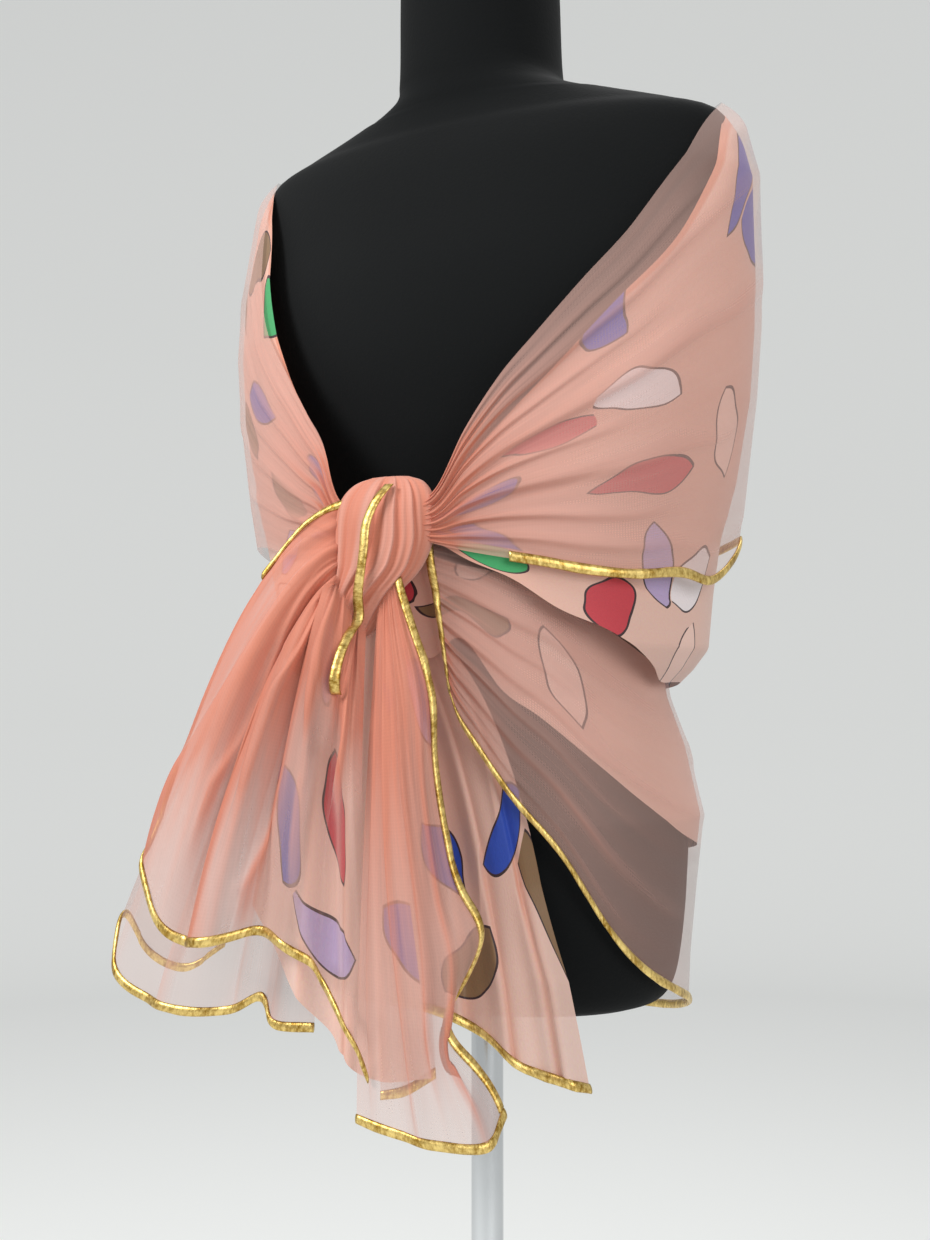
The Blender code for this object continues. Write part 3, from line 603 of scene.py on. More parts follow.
# ---- dress form
formColumns = ("z", "halfWidth", "front", "back")
formShape = {
    "rows": [
        (0.765, 0.122, 0.084, 0.086),
        (0.77, 0.134, 0.095, 0.097),
        (0.783, 0.142, 0.104, 0.106),
        (0.808, 0.147, 0.111, 0.112),
        (0.85, 0.151, 0.114, 0.116),
        (0.9, 0.152, 0.114, 0.114),
        (0.95, 0.141, 0.109, 0.105),
        (1, 0.126, 0.1, 0.09),
        (1.06, 0.118, 0.093, 0.084),
        (1.12, 0.124, 0.098, 0.084),
        (1.18, 0.14, 0.112, 0.088),
        (1.23, 0.158, 0.12, 0.093),
        (1.28, 0.176, 0.114, 0.096),
        (1.33, 0.187, 0.099, 0.094),
        (1.375, 0.19, 0.084, 0.087),
        (1.4, 0.188, 0.072, 0.078),
        (1.412, 0.164, 0.064, 0.07),
        (1.426, 0.124, 0.06, 0.065),
        (1.438, 0.088, 0.061, 0.062),
        (1.449, 0.069, 0.062, 0.06),
        (1.466, 0.064, 0.064, 0.058),
        (1.52, 0.0624, 0.068, 0.053),
        (1.571, 0.061, 0.071, 0.049),
        (1.5745, 0.059, 0.069, 0.047),
        (1.575, 0.056, 0.066, 0.044),
    ],
    "sides": 128,
    "rings": 190,
    "bodyPower": 2.1,
    "shoulderTilt": 0.03,
    "tiltFrom": (1.30, 1.40),
    "neckShift": -0.004,
    "neckFrom": (1.43, 1.46),
}


def closeRings(name, rings):
    count, sides = rings.shape[:2]
    low, high = count * sides, count * sides + 1
    faces = ringFaces(count, sides)
    for k in range(sides):
        faces.append((low, (k + 1) % sides, k))
        faces.append((high, (count - 1) * sides + k, (count - 1) * sides + (k + 1) % sides))
    return newMesh(name, np.concatenate([rings.reshape(-1, 3), [rings[0].mean(0)], [rings[-1].mean(0)]]), faces)


def makeForm():
    shape = formShape
    places = np.linspace(0, len(shape["rows"]) - 1, shape["rings"])
    read = readRows(shape["rows"], formColumns, places)
    turns = np.linspace(0, math.tau, shape["sides"], endpoint=False)
    rings = []
    for z, half, front, back in zip(*[read[name] for name in formColumns]):
        power = shape["bodyPower"] if z < shape["neckFrom"][0] else 2.0
        ring = placeAt(turns, ovalRadius(turns, half, half, front, back, power), np.full_like(turns, z))
        ring[:, 2] += shape["shoulderTilt"] * ring[:, 0] * np.interp(z, shape["tiltFrom"], (0, 1))
        ring[:, 0] += shape["neckShift"] * np.interp(z, shape["neckFrom"], (0, 1))
        rings.append(ring)
    mesh = closeRings("formTorso", np.array(rings))
    piece = finishPiece("formTorso", mesh, jersey, ["form_torso"])
    return piece


formTorso = makeForm()


# ---- stand
standShape = {
    "poleRadius": 0.012,
    "poleTop": 0.7646,
    "poleEdge": 0.0006,
    "gap": 0.0004,
    "baseRadius": 0.150,
    "baseHeight": 0.010,
    "baseEdge": 0.0022,
    "poleSides": 64,
    "baseSides": 160,
}


def makeCylinder(name, radius, low, high, bevel, node, sides):
    bpy.ops.object.select_all(action="DESELECT")
    bpy.ops.mesh.primitive_cylinder_add(vertices=sides, radius=radius, depth=high - low,
                                        location=(0, 0, (low + high) / 2))
    piece = bpy.context.object
    piece.name = name
    bpy.ops.object.transform_apply(location=True, rotation=True, scale=True)
    rounding = piece.modifiers.new("edge", "BEVEL")
    rounding.width = bevel
    rounding.segments = 4
    rounding.limit_method = "ANGLE"
    rounding.angle_limit = math.radians(40)
    bpy.ops.object.modifier_apply(modifier="edge")
    bpy.ops.object.shade_smooth_by_angle(angle=math.radians(35))
    piece.data.materials.clear()
    piece.data.materials.append(steel)
    assign(piece, [node])


makeCylinder("chromePole", standShape["poleRadius"], standShape["baseHeight"] + standShape["gap"],
             standShape["poleTop"], standShape["poleEdge"], "pole", standShape["poleSides"])
makeCylinder("chromeBase", standShape["baseRadius"], 0.0, standShape["baseHeight"], standShape["baseEdge"],
             "base_plate", standShape["baseSides"])
print("form and stand ready")


# ---- upper scarf
drapeColumns = ("z", "nearWidth", "farWidth", "front", "back")
drapeRows = [
    (1.06, 0.184, 0.168, 0.159, 0.122),
    (1.1, 0.19, 0.176, 0.159, 0.12),
    (1.13, 0.195, 0.183, 0.158, 0.118),
    (1.2, 0.204, 0.197, 0.15, 0.113),
    (1.25, 0.208, 0.204, 0.14, 0.107),
    (1.3, 0.209, 0.205, 0.126, 0.101),
    (1.36, 0.208, 0.199, 0.103, 0.096),
    (1.4, 0.198, 0.195, 0.084, 0.0845),
    (1.43, 0.192, 0.192, 0.076, 0.078),
]
printDrapeRows = [
    (0.98, 0.142, 0.142, 0.152, 0.12),
    (0.995, 0.147, 0.147, 0.154, 0.118),
    (1.005, 0.158, 0.15, 0.155, 0.116),
    (1.02, 0.17, 0.154, 0.156, 0.115),
    (1.06, 0.174, 0.16, 0.158, 0.116),
    (1.1, 0.18, 0.17, 0.158, 0.118),
    (1.14, 0.192, 0.183, 0.157, 0.118),
    (1.2, 0.203, 0.196, 0.15, 0.113),
    (1.25, 0.207, 0.203, 0.14, 0.107),
    (1.3, 0.208, 0.204, 0.126, 0.101),
    (1.36, 0.207, 0.198, 0.103, 0.096),
    (1.4, 0.197, 0.194, 0.084, 0.0845),
    (1.43, 0.191, 0.191, 0.076, 0.078),
]
wrapColumns = ("turn", "topZ", "lowZ", "out")
upperTulleShape = {
    "rows": [
        (7, 1.108, 1.09, 0.017),
        (13.2, 1.121, 1.084, 0.016),
        (19, 1.16, 1.08, 0.01),
        (27, 1.197, 1.076, 0.006),
        (36, 1.228, 1.072, 0.0044),
        (46, 1.262, 1.067, 0.004),
        (57, 1.299, 1.065, 0.004),
        (69, 1.348, 1.068, 0.004),
        (79, 1.386, 1.064, 0.004),
        (88, 1.411, 1.08, 0.005),
        (97, 1.422, 1.098, 0.0036),
        (118, 1.424, 1.092, 0.002),
        (145, 1.414, 1.082, 0.002),
        (180, 1.404, 1.086, 0.002),
        (215, 1.406, 1.08, 0.002),
        (242, 1.408, 1.09, 0.002),
        (263, 1.41, 1.096, 0.0034),
        (276, 1.405, 1.092, 0.0034),
        (288, 1.372, 1.096, 0.0034),
        (298, 1.322, 1.098, 0.0034),
        (308, 1.268, 1.096, 0.0034),
        (317, 1.236, 1.092, 0.0036),
        (326, 1.209, 1.086, 0.0044),
        (334, 1.183, 1.084, 0.006),
        (342, 1.158, 1.084, 0.01),
        (348.8, 1.12, 1.086, 0.015),
        (354, 1.108, 1.092, 0.016),
    ],
    "along": 300,
    "across": 170,
    "flatWidth": 0.34,
    "lean": 0.014,         # how far the top edge leans in over the shoulders
    "foldLayers": 1.0,     # how much denser the folds look
    "moreLayers": 0.0,     # layers added all over
    "goldFrom": (0.125, 0.625),
    "creases": [
        (9, 66, 0.12, 0.1, 0.034, 0.003, 0.001),
        (9, 78, 0.21, 0.18, 0.052, 0.0038, 0.0016),
        (9, 54, 0.33, 0.3, 0.026, 0.003, 0.0008),
        (10, 82, 0.43, 0.42, 0.062, 0.0036, 0.0022),
        (9, 48, 0.52, 0.55, 0.026, 0.0034, 0.0008),
        (11, 74, 0.64, 0.69, 0.05, 0.0034, 0.0018),
        (9, 58, 0.76, 0.83, 0.03, 0.0034, 0.001),
        (10, 84, 0.88, 0.94, 0.036, 0.0026, 0.0012),
        (128, 240, 0.22, 0.26, 0.06, 0.0028, 0.0024),
        (136, 232, 0.5, 0.46, 0.07, 0.0036, 0.003),
        (150, 248, 0.76, 0.68, 0.05, 0.0024, 0.003),
        (300, 353, 0.14, 0.18, 0.04, 0.0012, 0.0034),
        (296, 353, 0.31, 0.32, 0.044, 0.0014, 0.003),
        (304, 353, 0.46, 0.45, 0.04, 0.0016, 0.0036),
        (298, 353, 0.62, 0.6, 0.046, 0.0014, 0.003),
        (306, 353, 0.8, 0.76, 0.034, 0.0012, 0.0034),
    ] + fineGathers(11, 10, 9, 50, 0.0017, (0.020, 0.042))
    + fineGathers(12, 10, 353, 312, 0.0017, (0.020, 0.042)),
}
upperPrintShape = {
    "rows": [
        (7, 1.106, 1.092, 0.014),
        (12.8, 1.117, 1.086, 0.0128),
        (20, 1.142, 1.074, 0.007),
        (30, 1.174, 1.062, 0.002),
        (41, 1.208, 1.043, 0),
        (53, 1.248, 1.03, 0),
        (66, 1.291, 1.012, 0),
        (78, 1.347, 0.997, 0),
        (88, 1.4, 0.996, 0),
        (98, 1.41, 0.996, 0),
        (118, 1.41, 0.992, 0),
        (145, 1.403, 0.986, 0),
        (180, 1.397, 0.99, 0),
        (215, 1.399, 0.985, 0),
        (242, 1.402, 0.99, 0),
        (262, 1.402, 0.996, 0),
        (278, 1.395, 0.998, 0),
        (294, 1.351, 1.01, 0),
        (308, 1.277, 1.026, 0),
        (320, 1.225, 1.042, 0),
        (332, 1.185, 1.062, 0.002),
        (342, 1.152, 1.078, 0.007),
        (348, 1.117, 1.088, 0.0124),
        (354, 1.106, 1.092, 0.013),
    ],
    "along": 260,
    "across": 130,
    "flatWidth": 0.41,
    "lean": 0.008,
    "foldLayers": 0.0,
    "moreLayers": 0.0,
    "underLayers": 0.9,    # layers added where the outer ply lies over this one
    "follow": 0.8,         # share of the outer ply's folds that this one takes on
    "rolled": 0.020,       # share of the width that is rolled at the top
    "rolledLayers": 2.16,
    "printShift": (2.60, 0.60),
    "creases": [
        (14, 60, 0.2, 0.18, 0.03, -0.002, -0.001),
        (14, 64, 0.52, 0.5, 0.035, -0.0022, -0.0014),
        (14, 70, 0.8, 0.84, 0.03, -0.002, -0.0024),
        (300, 347, 0.25, 0.27, 0.03, -0.001, -0.002),
        (296, 347, 0.6, 0.58, 0.035, -0.0014, -0.0022),
    ],
}

wrapForm = {
    "shoulders": ((98, 22), (268, 20)),    # turns where the top edge leans in, and how far round
    "leanTo": 0.07,                        # share of the width that leans
    "followTo": (1.0, 1.15),               # shares of the outer ply between which its folds run out
    "under": (-0.02, 0.0, 0.98, 1.0),      # shares between which the outer ply covers the inner one
}


# A table has one turn column for both edges, or the top edge's and then the lower edge's
def wrapBase(shape, columns, shell):
    places = np.linspace(0, len(shape["rows"]) - 1, shape["along"])
    read = readRows(shape["rows"], columns, places)
    share = np.linspace(0, 1, shape["across"])[None, :]
    mixed = lambda top, low: top[:, None] * (1 - share) + low[:, None] * share
    degrees = mixed(read[columns[0]], read[columns[len(columns) - 4]])
    z = mixed(read["topZ"], read["lowZ"])
    turn = np.radians(degrees)
    radius = shellRadius(shell, turn, z) + read["out"][:, None]
    shoulder = sum(np.exp(-((degrees - middle) / wide) ** 4) for middle, wide in wrapForm["shoulders"])
    radius = radius - shape["lean"] * np.clip(1 - share / wrapForm["leanTo"], 0, 1) ** 2 * shoulder
    return degrees, turn, z, radius, np.broadcast_to(share, z.shape)


# The share of the outer ply's width that lies over a point of the inner ply
def shareOver(outer, degrees, z):
    turns, top, low = np.array(outer["rows"], float).T[:3]
    top, low = np.interp(degrees, turns, top), np.interp(degrees, turns, low)
    return (top - z) / (top - low)


# A ply taken round the form. An inner one follows the folds of the ply over it, and looks denser
# under it and where its own top edge is rolled.
def makeWrap(name, shape, columns, shell, material, nodes, outer=None):
    degrees, turn, z, radius, share = wrapBase(shape, columns, shell)
    height, layers = creaseField(shape["creases"], degrees, share)
    layers = layers * shape["foldLayers"] + shape["moreLayers"]
    if outer:
        over = shareOver(outer, degrees, z)
        folds = creaseField(outer["creases"], degrees, over)[0]
        height = height + shape["follow"] * folds * np.interp(over, wrapForm["followTo"], (1, 0))
        layers = layers + shape["underLayers"] * np.interp(over, wrapForm["under"], (0, 1, 1, 0))
        layers = layers + np.where(share < shape["rolled"], shape["rolledLayers"], 0)
    grid = placeAt(turn, radius + height, z)
    return makeCloth(name, grid, placeAt(turn, radius, z), shape, layers, material, nodes), grid


upperTulle, grid = makeWrap("upperTulle", upperTulleShape, wrapColumns, drapeRows, tulle,
                            ["near_wrap_tulle", "back_wrap_tulle", "far_wrap_tulle"])
first, last = [int(upperTulleShape["along"] * share) for share in upperTulleShape["goldFrom"]]
upperBraid = edgeRibbon("upperEdgeBraid", grid[first:last], "hem", ["near_wrap_ribbon", "back_wrap_ribbon"])
upperPrint, grid = makeWrap("upperPrint", upperPrintShape, wrapColumns, printDrapeRows, chiffon,
                            ["near_wrap_print", "back_wrap_print", "far_wrap_print"],
                            upperTulleShape)
print("upper scarf ready")


# ---- lower scarf
hipRows = [
    (0.73, 0.149, 0.149, 0.124, 0.128),
    (0.8, 0.152, 0.152, 0.128, 0.134),
    (0.85, 0.157, 0.159, 0.132, 0.138),
    (0.9, 0.163, 0.163, 0.136, 0.137),
    (0.95, 0.152, 0.152, 0.14, 0.128),
    (0.985, 0.14, 0.14, 0.144, 0.109),
    (1.01, 0.136, 0.136, 0.148, 0.102),
    (1.05, 0.136, 0.136, 0.153, 0.1),
    (1.08, 0.137, 0.137, 0.159, 0.1),
    (1.12, 0.138, 0.138, 0.163, 0.1),
]
hipColumns = ("topTurn", "lowTurn", "topZ", "lowZ", "out")
lowerTulleShape = {
    "rows": [
        (9.6, 14.2, 1.088, 0.987, 0.002),
        (14.5, 16.4, 1.085, 0.971, 0.001),
        (20, 21, 1.081, 0.953, 0.001),
        (30, 31, 1.072, 0.917, 0.001),
        (41, 43, 1.064, 0.882, 0.001),
        (54, 57, 1.05, 0.83, 0.001),
        (66, 68, 1.036, 0.802, 0.001),
        (78, 80, 1.022, 0.784, 0.001),
        (97, 97, 1.018, 0.768, 0.001),
        (125, 125, 1.014, 0.748, 0.001),
        (152, 152, 1.01, 0.742, 0.001),
        (180, 180, 1.012, 0.748, 0.001),
        (208, 208, 1.01, 0.742, 0.001),
        (235, 235, 1.014, 0.748, 0.001),
        (263, 263, 1.018, 0.768, 0.001),
        (280, 280, 1.022, 0.784, 0.001),
        (294, 292, 1.034, 0.812, 0.001),
        (308, 305, 1.048, 0.85, 0.001),
        (322, 319, 1.062, 0.9, 0.001),
        (334, 332, 1.072, 0.95, 0.001),
        (349.4, 343, 1.086, 1, 0.001),
        (355, 351, 1.09, 1.024, 0.004),
    ],
    "along": 260,
    "across": 130,
    "flatWidth": 0.24,
    "lean": 0.0,
    "foldLayers": 0.6,
    "moreLayers": 0.0,
    "goldTo": 0.70,
    "creases": [
        (9, 62, 0.1, 0.07, 0.04, 0.0026, 0.001),
        (9, 80, 0.24, 0.2, 0.056, 0.0034, 0.002),
        (9, 58, 0.37, 0.34, 0.03, 0.003, 0.0008),
        (10, 86, 0.48, 0.47, 0.056, 0.0034, 0.0024),
        (9, 60, 0.61, 0.62, 0.03, 0.003, 0.001),
        (10, 78, 0.74, 0.78, 0.048, 0.003, 0.0018),
        (9, 56, 0.88, 0.92, 0.03, 0.0024, 0.0008),
        (120, 244, 0.3, 0.28, 0.062, 0.0028, 0.0026),
        (132, 236, 0.58, 0.62, 0.07, 0.0032, 0.0024),
        (150, 250, 0.84, 0.78, 0.05, 0.002, 0.0024),
        (300, 350, 0.18, 0.22, 0.046, 0.0012, 0.003),
        (294, 350, 0.42, 0.42, 0.052, 0.0016, 0.0034),
        (302, 350, 0.66, 0.64, 0.044, 0.0012, 0.003),
        (298, 350, 0.86, 0.84, 0.036, 0.0012, 0.0026),
    ] + fineGathers(21, 13, 9, 38, 0.0018, (0.014, 0.034))
    + fineGathers(22, 12, 352, 324, 0.0018, (0.014, 0.034)),
}
lowerPrintShape = {
    "rows": [
        (2, 2, 1.084, 1.012, -0.0066),
        (9, 9.5, 1.08, 1.012, -0.005),
        (17, 17.5, 1.073, 1.024, -0.0016),
        (27, 28, 1.067, 0.99, -0.0016),
        (39, 39, 1.054, 0.971, -0.0016),
        (54, 54.5, 1.04, 0.94, -0.0016),
        (67, 68, 1.026, 0.913, -0.0016),
        (81, 81, 1.014, 0.892, -0.0016),
        (97, 97, 1.008, 0.88, -0.0016),
        (125, 125, 1.004, 0.868, -0.0016),
        (152, 152, 1, 0.862, -0.0016),
        (180, 180, 1.002, 0.866, -0.0016),
        (208, 208, 1, 0.862, -0.0016),
        (235, 235, 1.004, 0.868, -0.0016),
        (263, 263, 1.008, 0.88, -0.0016),
        (279, 279, 1.014, 0.894, -0.0016),
        (300, 298, 1.03, 0.92, -0.0016),
        (320, 318, 1.05, 0.956, -0.0016),
        (338, 337, 1.066, 1.006, -0.0016),
    ],
    "along": 220,
    "across": 70,
    "flatWidth": 0.14,
    "lean": 0.0,
    "foldLayers": 0.0,
    "moreLayers": 0.7,
    "creases": [],
    "printShift": (4.00, 7.70),
}


lowerTulle, grid = makeWrap("lowerTulle", lowerTulleShape, hipColumns, hipRows, tulle,
                            ["near_hip_tulle", "back_hip_tulle", "far_hip_tulle"])
hipFrontBraid = edgeRibbon("hipFrontBraid", grid, "start", ["near_hip_front_ribbon"], first=1)
last = int(lowerTulleShape["along"] * lowerTulleShape["goldTo"])
hipHemBraid = edgeRibbon("hipHemBraid", grid[:last], "hem", ["near_hip_ribbon", "back_hip_ribbon"])
lowerPrint, grid = makeWrap("lowerPrint", lowerPrintShape, hipColumns, hipRows, chiffon,
                            ["near_hip_print", "back_hip_print", "far_hip_print"])
print("lower scarf ready")


# ---- knot
knotColumns = ("z", "centreX", "centreY", "halfWidth", "halfDepth", "pleat")
knotShape = {
    "rows": [
        (1.019, -0.0172, -0.1735, 0.005, 0.006, 0),
        (1.023, -0.0168, -0.1735, 0.009, 0.0095, 0.0004),
        (1.033, -0.0156, -0.173, 0.0145, 0.013, 0.0018),
        (1.05, -0.012, -0.1725, 0.0225, 0.0165, 0.0034),
        (1.066, -0.0042, -0.172, 0.0295, 0.018, 0.0042),
        (1.085, 0.0006, -0.171, 0.0345, 0.0185, 0.0044),
        (1.104, 0.002, -0.1705, 0.035, 0.0175, 0.0042),
        (1.117, 0.003, -0.1695, 0.0325, 0.0145, 0.0038),
        (1.126, 0.004, -0.1685, 0.025, 0.0095, 0.0026),
        (1.13, 0.005, -0.168, 0.014, 0.005, 0.0008),
    ],
    "pleats": 10,
    "sides": 420,
    "rings": 90,
    "gather": 14.0,
    "tone": 0.90,
    "paintedPleatShading": 130.0,   # painted shade in the valleys and painted highlight on the ridges, for each metre of depth
    "foot": 1.02,
    "flatTurn": 0.06,
    "drift": [(1.02, 0.42), (1.07, 0.0), (1.13, 0.16)],      # height and turn of all pleats, in radians
    "uneven": [(2, 0.17, 0.7, -11), (3, 0.13, 2.0, 26)],     # times round, size, start, climb
    "lip": 0.14,
    "round": 0.9,
    "middle": 0.45,
    "small": (2.3, 0.10, 0.0, 8),
    "sizes": (3, 0.36, 0.4, 17),
    "meanSize": 0.78,
}
# Height and turn of the gold edge down the knot's front
knotEdge = [
    (1.034, 24),
    (1.048, 12),
    (1.065, 2),
    (1.095, -3),
    (1.112, 4),
    (1.123, 14),
]
# Where it ends on the left tail, in shares of it, and how far it bows out and lies off the knot
knotFall = {"down": 0.29, "across": 0.25, "lift": 0.012, "out": 0.0012, "steps": (30, 60)}


def knotPoint(turn, z, out):
    centreX, centreY, halfWidth, halfDepth, pleat = readAt(z, knotShape["rows"], knotColumns)
    return np.stack([centreX + (halfWidth + pleat + out) * np.sin(turn),
                     centreY - (halfDepth + pleat + out) * np.cos(turn), z], axis=-1)


# Wide pleats that lie over each other, uneven in width, drawn to the lower left
def knotPleats(turn, z):
    shape = knotShape
    climbed = z - shape["foot"]
    swing = lambda angle, times, size, start, climb: size * np.sin(times * angle + start + climb * climbed)
    uneven = turn + np.interp(z, *zip(*shape["drift"])) + sum(swing(turn, *wave) for wave in shape["uneven"])
    phase = np.mod(shape["pleats"] * uneven / math.tau, 1.0)
    lip = phase ** shape["round"] * np.clip((1.0 - phase) / shape["lip"], 0, 1)
    times, size, start, climb = shape["small"]
    small = swing(uneven, times * shape["pleats"], size, start, climb)
    return (lip - shape["middle"]) * (shape["meanSize"] + swing(turn, *shape["sizes"])) + small


def makeKnot():
    shape = knotShape
    places = np.linspace(0, len(shape["rows"]) - 1, shape["rings"])
    read = {name: values[:, None] for name, values in readRows(shape["rows"], knotColumns, places).items()}
    turns = np.linspace(0, math.tau, shape["sides"], endpoint=False)[None, :]
    z = np.broadcast_to(read["z"], (shape["rings"], shape["sides"]))
    wave = knotPleats(turns, z) * read["pleat"]
    x = read["centreX"] + (read["halfWidth"] + wave) * np.sin(turns)
    y = read["centreY"] - (read["halfDepth"] + wave) * np.cos(turns)
    mesh = closeRings("knotBand", np.stack([x, y, z], axis=-1))
    # Painted shade and painted highlight: the pleats' valleys get a deeper, darker colour and their ridges a
    # paler one
    valley = np.append(-wave, [0, 0])
    setField(mesh, "gather", np.full(len(valley), shape["gather"]))
    setField(mesh, "tone", shape["tone"] + valley * shape["paintedPleatShading"])
    flat = np.stack([z - 1.0, np.broadcast_to(turns * shape["flatTurn"], z.shape)], axis=-1).reshape(-1, 2)
    setUv(mesh, np.concatenate([flat, flat[:1], flat[-1:]]))
    return finishPiece("knotBand", mesh, tulle, ["knot_band"])


# The gold edge comes up off the left tail in a bow and goes on over the knot
def makeKnotBraid(tail):
    heights = np.linspace(knotEdge[0][0], knotEdge[-1][0], knotFall["steps"][1])
    turn = np.radians(np.interp(heights, *zip(*knotEdge)))
    high = knotPoint(turn, heights, knotFall["out"])
    side = unit(knotPoint(turn + 0.05, heights, knotFall["out"]) - high)
    facing = unit(knotPoint(turn, heights, 0.004) - high)
    foot = tail[round(knotFall["down"] * (tail.shape[0] - 1)), round(knotFall["across"] * (tail.shape[1] - 1))]
    part = np.linspace(0, 1, knotFall["steps"][0], endpoint=False)[:, None]
    low = foot + (high[0] - foot) * part - np.array([0, knotFall["lift"], 0]) * np.sin(math.pi * part) ** 0.5
    longer = lambda data: np.concatenate([np.broadcast_to(data[0], low.shape), data])
    return makeRibbon("knotBraid", np.concatenate([low, high]), longer(side), longer(facing), ["knot_ribbon"])


knotBand = makeKnot()
print("knot ready")


# ---- tails
tailColumns = ("turn", "rootZ", "off", "hemX", "hemY", "hemZ", "arch", "swell")
leftFrontShape = {
    "rows": [
        (42, 1.033, 0.0034, 0.016, -0.218, 0.751, 1, 0.006),
        (20, 1.031, 0.0034, 0.006, -0.23, 0.787, 1.02, 0.012),
        (2, 1.048, 0.005, -0.02, -0.214, 0.812, 1.03, 0.004),
        (-14, 1.056, 0.0052, -0.034, -0.232, 0.829, 1.06, 0.014),
        (-28, 1.058, 0.0044, -0.064, -0.217, 0.836, 1.16, 0.004),
        (-40, 1.057, -0.002, -0.086, -0.238, 0.83, 1.3, 0.014),
        (-50, 1.068, -0.006, -0.111, -0.226, 0.826, 1.4, 0.004),
        (-58, 1.079, -0.008, -0.129, -0.234, 0.838, 1.5, 0.012),
        (-66, 1.096, -0.009, -0.147, -0.222, 0.872, 1.6, 0.006),
        (-74, 1.115, -0.009, -0.15, -0.203, 0.904, 1.75, 0.004),
    ],
    "across": 220,
    "down": 130,
    "flatWidth": 0.30,
    "creases": [
        (0, 0.9, 0.05, 0.07, 0.034, 0.0024, 0.004),
        (0, 0.62, 0.13, 0.15, 0.03, 0.0032, 0.0026),
        (0.04, 0.96, 0.24, 0.28, 0.056, 0.003, 0.0072),
        (0, 0.55, 0.33, 0.36, 0.03, 0.0036, 0.002),
        (0.02, 0.88, 0.42, 0.47, 0.05, 0.0036, 0.0064),
        (0, 0.58, 0.52, 0.55, 0.028, 0.0036, 0.0022),
        (0.03, 0.97, 0.61, 0.66, 0.06, 0.0034, 0.0074),
        (0, 0.7, 0.72, 0.74, 0.034, 0.0034, 0.0032),
        (0.02, 0.92, 0.81, 0.85, 0.05, 0.0032, 0.0058),
        (0, 0.8, 0.92, 0.94, 0.034, 0.0026, 0.003),
    ] + fineGathers(31, 18, 0.0, 0.55, 0.0014, (0.012, 0.026)),
    "plies": [(0.0, 4.2), (0.3, 3.0), (0.6, 1.9), (0.8, 0.9), (1.0, 0.2)],
    "cover": [(0.0, 0.0), (0.30, 0.1), (0.44, 1.0), (0.70, 1.7), (1.0, 1.9)],
    "sway": 0.05,
}
leftRearShape = {
    "rows": [
        (-95, 1.035, 0.0008, -0.042, -0.183, 0.769, 1.05, 0),
        (-96, 1.04, 0.0008, -0.071, -0.187, 0.77, 1.12, 0.003),
        (-97, 1.045, 0.0008, -0.08, -0.184, 0.787, 1.16, 0),
        (-99, 1.052, 0.0008, -0.106, -0.182, 0.775, 1.2, 0.002),
        (-100, 1.06, 0.0008, -0.137, -0.192, 0.773, 1.3, 0.006),
        (-101, 1.068, 0.0008, -0.171, -0.186, 0.777, 1.4, 0.002),
        (-102, 1.076, 0.0008, -0.204, -0.18, 0.792, 1.5, 0),
        (-104, 1.083, 0.0008, -0.216, -0.158, 0.83, 1.5, 0),
        (-108, 1.08, 0.0014, -0.21, -0.138, 0.8, 1.4, 0),
        (-113, 1.074, 0.0014, -0.188, -0.124, 0.786, 1.3, 0),
        (-118, 1.068, 0.0014, -0.16, -0.112, 0.804, 1.2, 0),
    ],
    "across": 190,
    "down": 120,
    "flatWidth": 0.30,
    "creases": [
        (0.05, 0.95, 0.08, 0.1, 0.03, 0.0006, 0.003),
        (0.05, 0.9, 0.27, 0.29, 0.034, 0.0006, 0.0034),
        (0.05, 0.95, 0.45, 0.47, 0.034, 0.0006, 0.0036),
        (0.05, 0.9, 0.6, 0.62, 0.032, 0.0006, 0.003),
        (0.05, 0.95, 0.86, 0.88, 0.034, -0.0006, -0.003),
    ],
    "plies": [(0.0, 3.0), (0.5, 0.8), (0.8, 0.0), (1.0, 0.0)],
}
leftPrintShape = {
    "rows": [
        (76, 1.03, 0.0012, 0.04, -0.176, 0.745, 1, 0),
        (60, 1.0262, 0.0012, 0.016, -0.188, 0.743, 1, 0),
        (30, 1.025, 0.0012, 0, -0.197, 0.748, 1, 0.001),
        (0, 1.025, 0.0012, -0.01, -0.202, 0.758, 1.02, 0.002),
        (-30, 1.0255, 0.0012, -0.022, -0.196, 0.772, 1.08, 0),
        (-60, 1.029, 0.0012, -0.042, -0.206, 0.795, 1.15, 0.004),
        (-80, 1.035, 0.001, -0.062, -0.199, 0.822, 1.25, 0),
        (-88, 1.043, 0.001, -0.078, -0.202, 0.85, 1.35, 0.002),
    ],
    "across": 120,
    "down": 120,
    "flatWidth": 0.17,
    "printShift": (0.20, 2.60),
    "creases": [
        (0.05, 0.95, 0.15, 0.17, 0.05, 0.0004, 0.0022),
        (0.05, 0.95, 0.42, 0.44, 0.055, -0.0004, -0.0026),
        (0.05, 0.95, 0.68, 0.7, 0.05, 0.0004, 0.002),
    ],
}
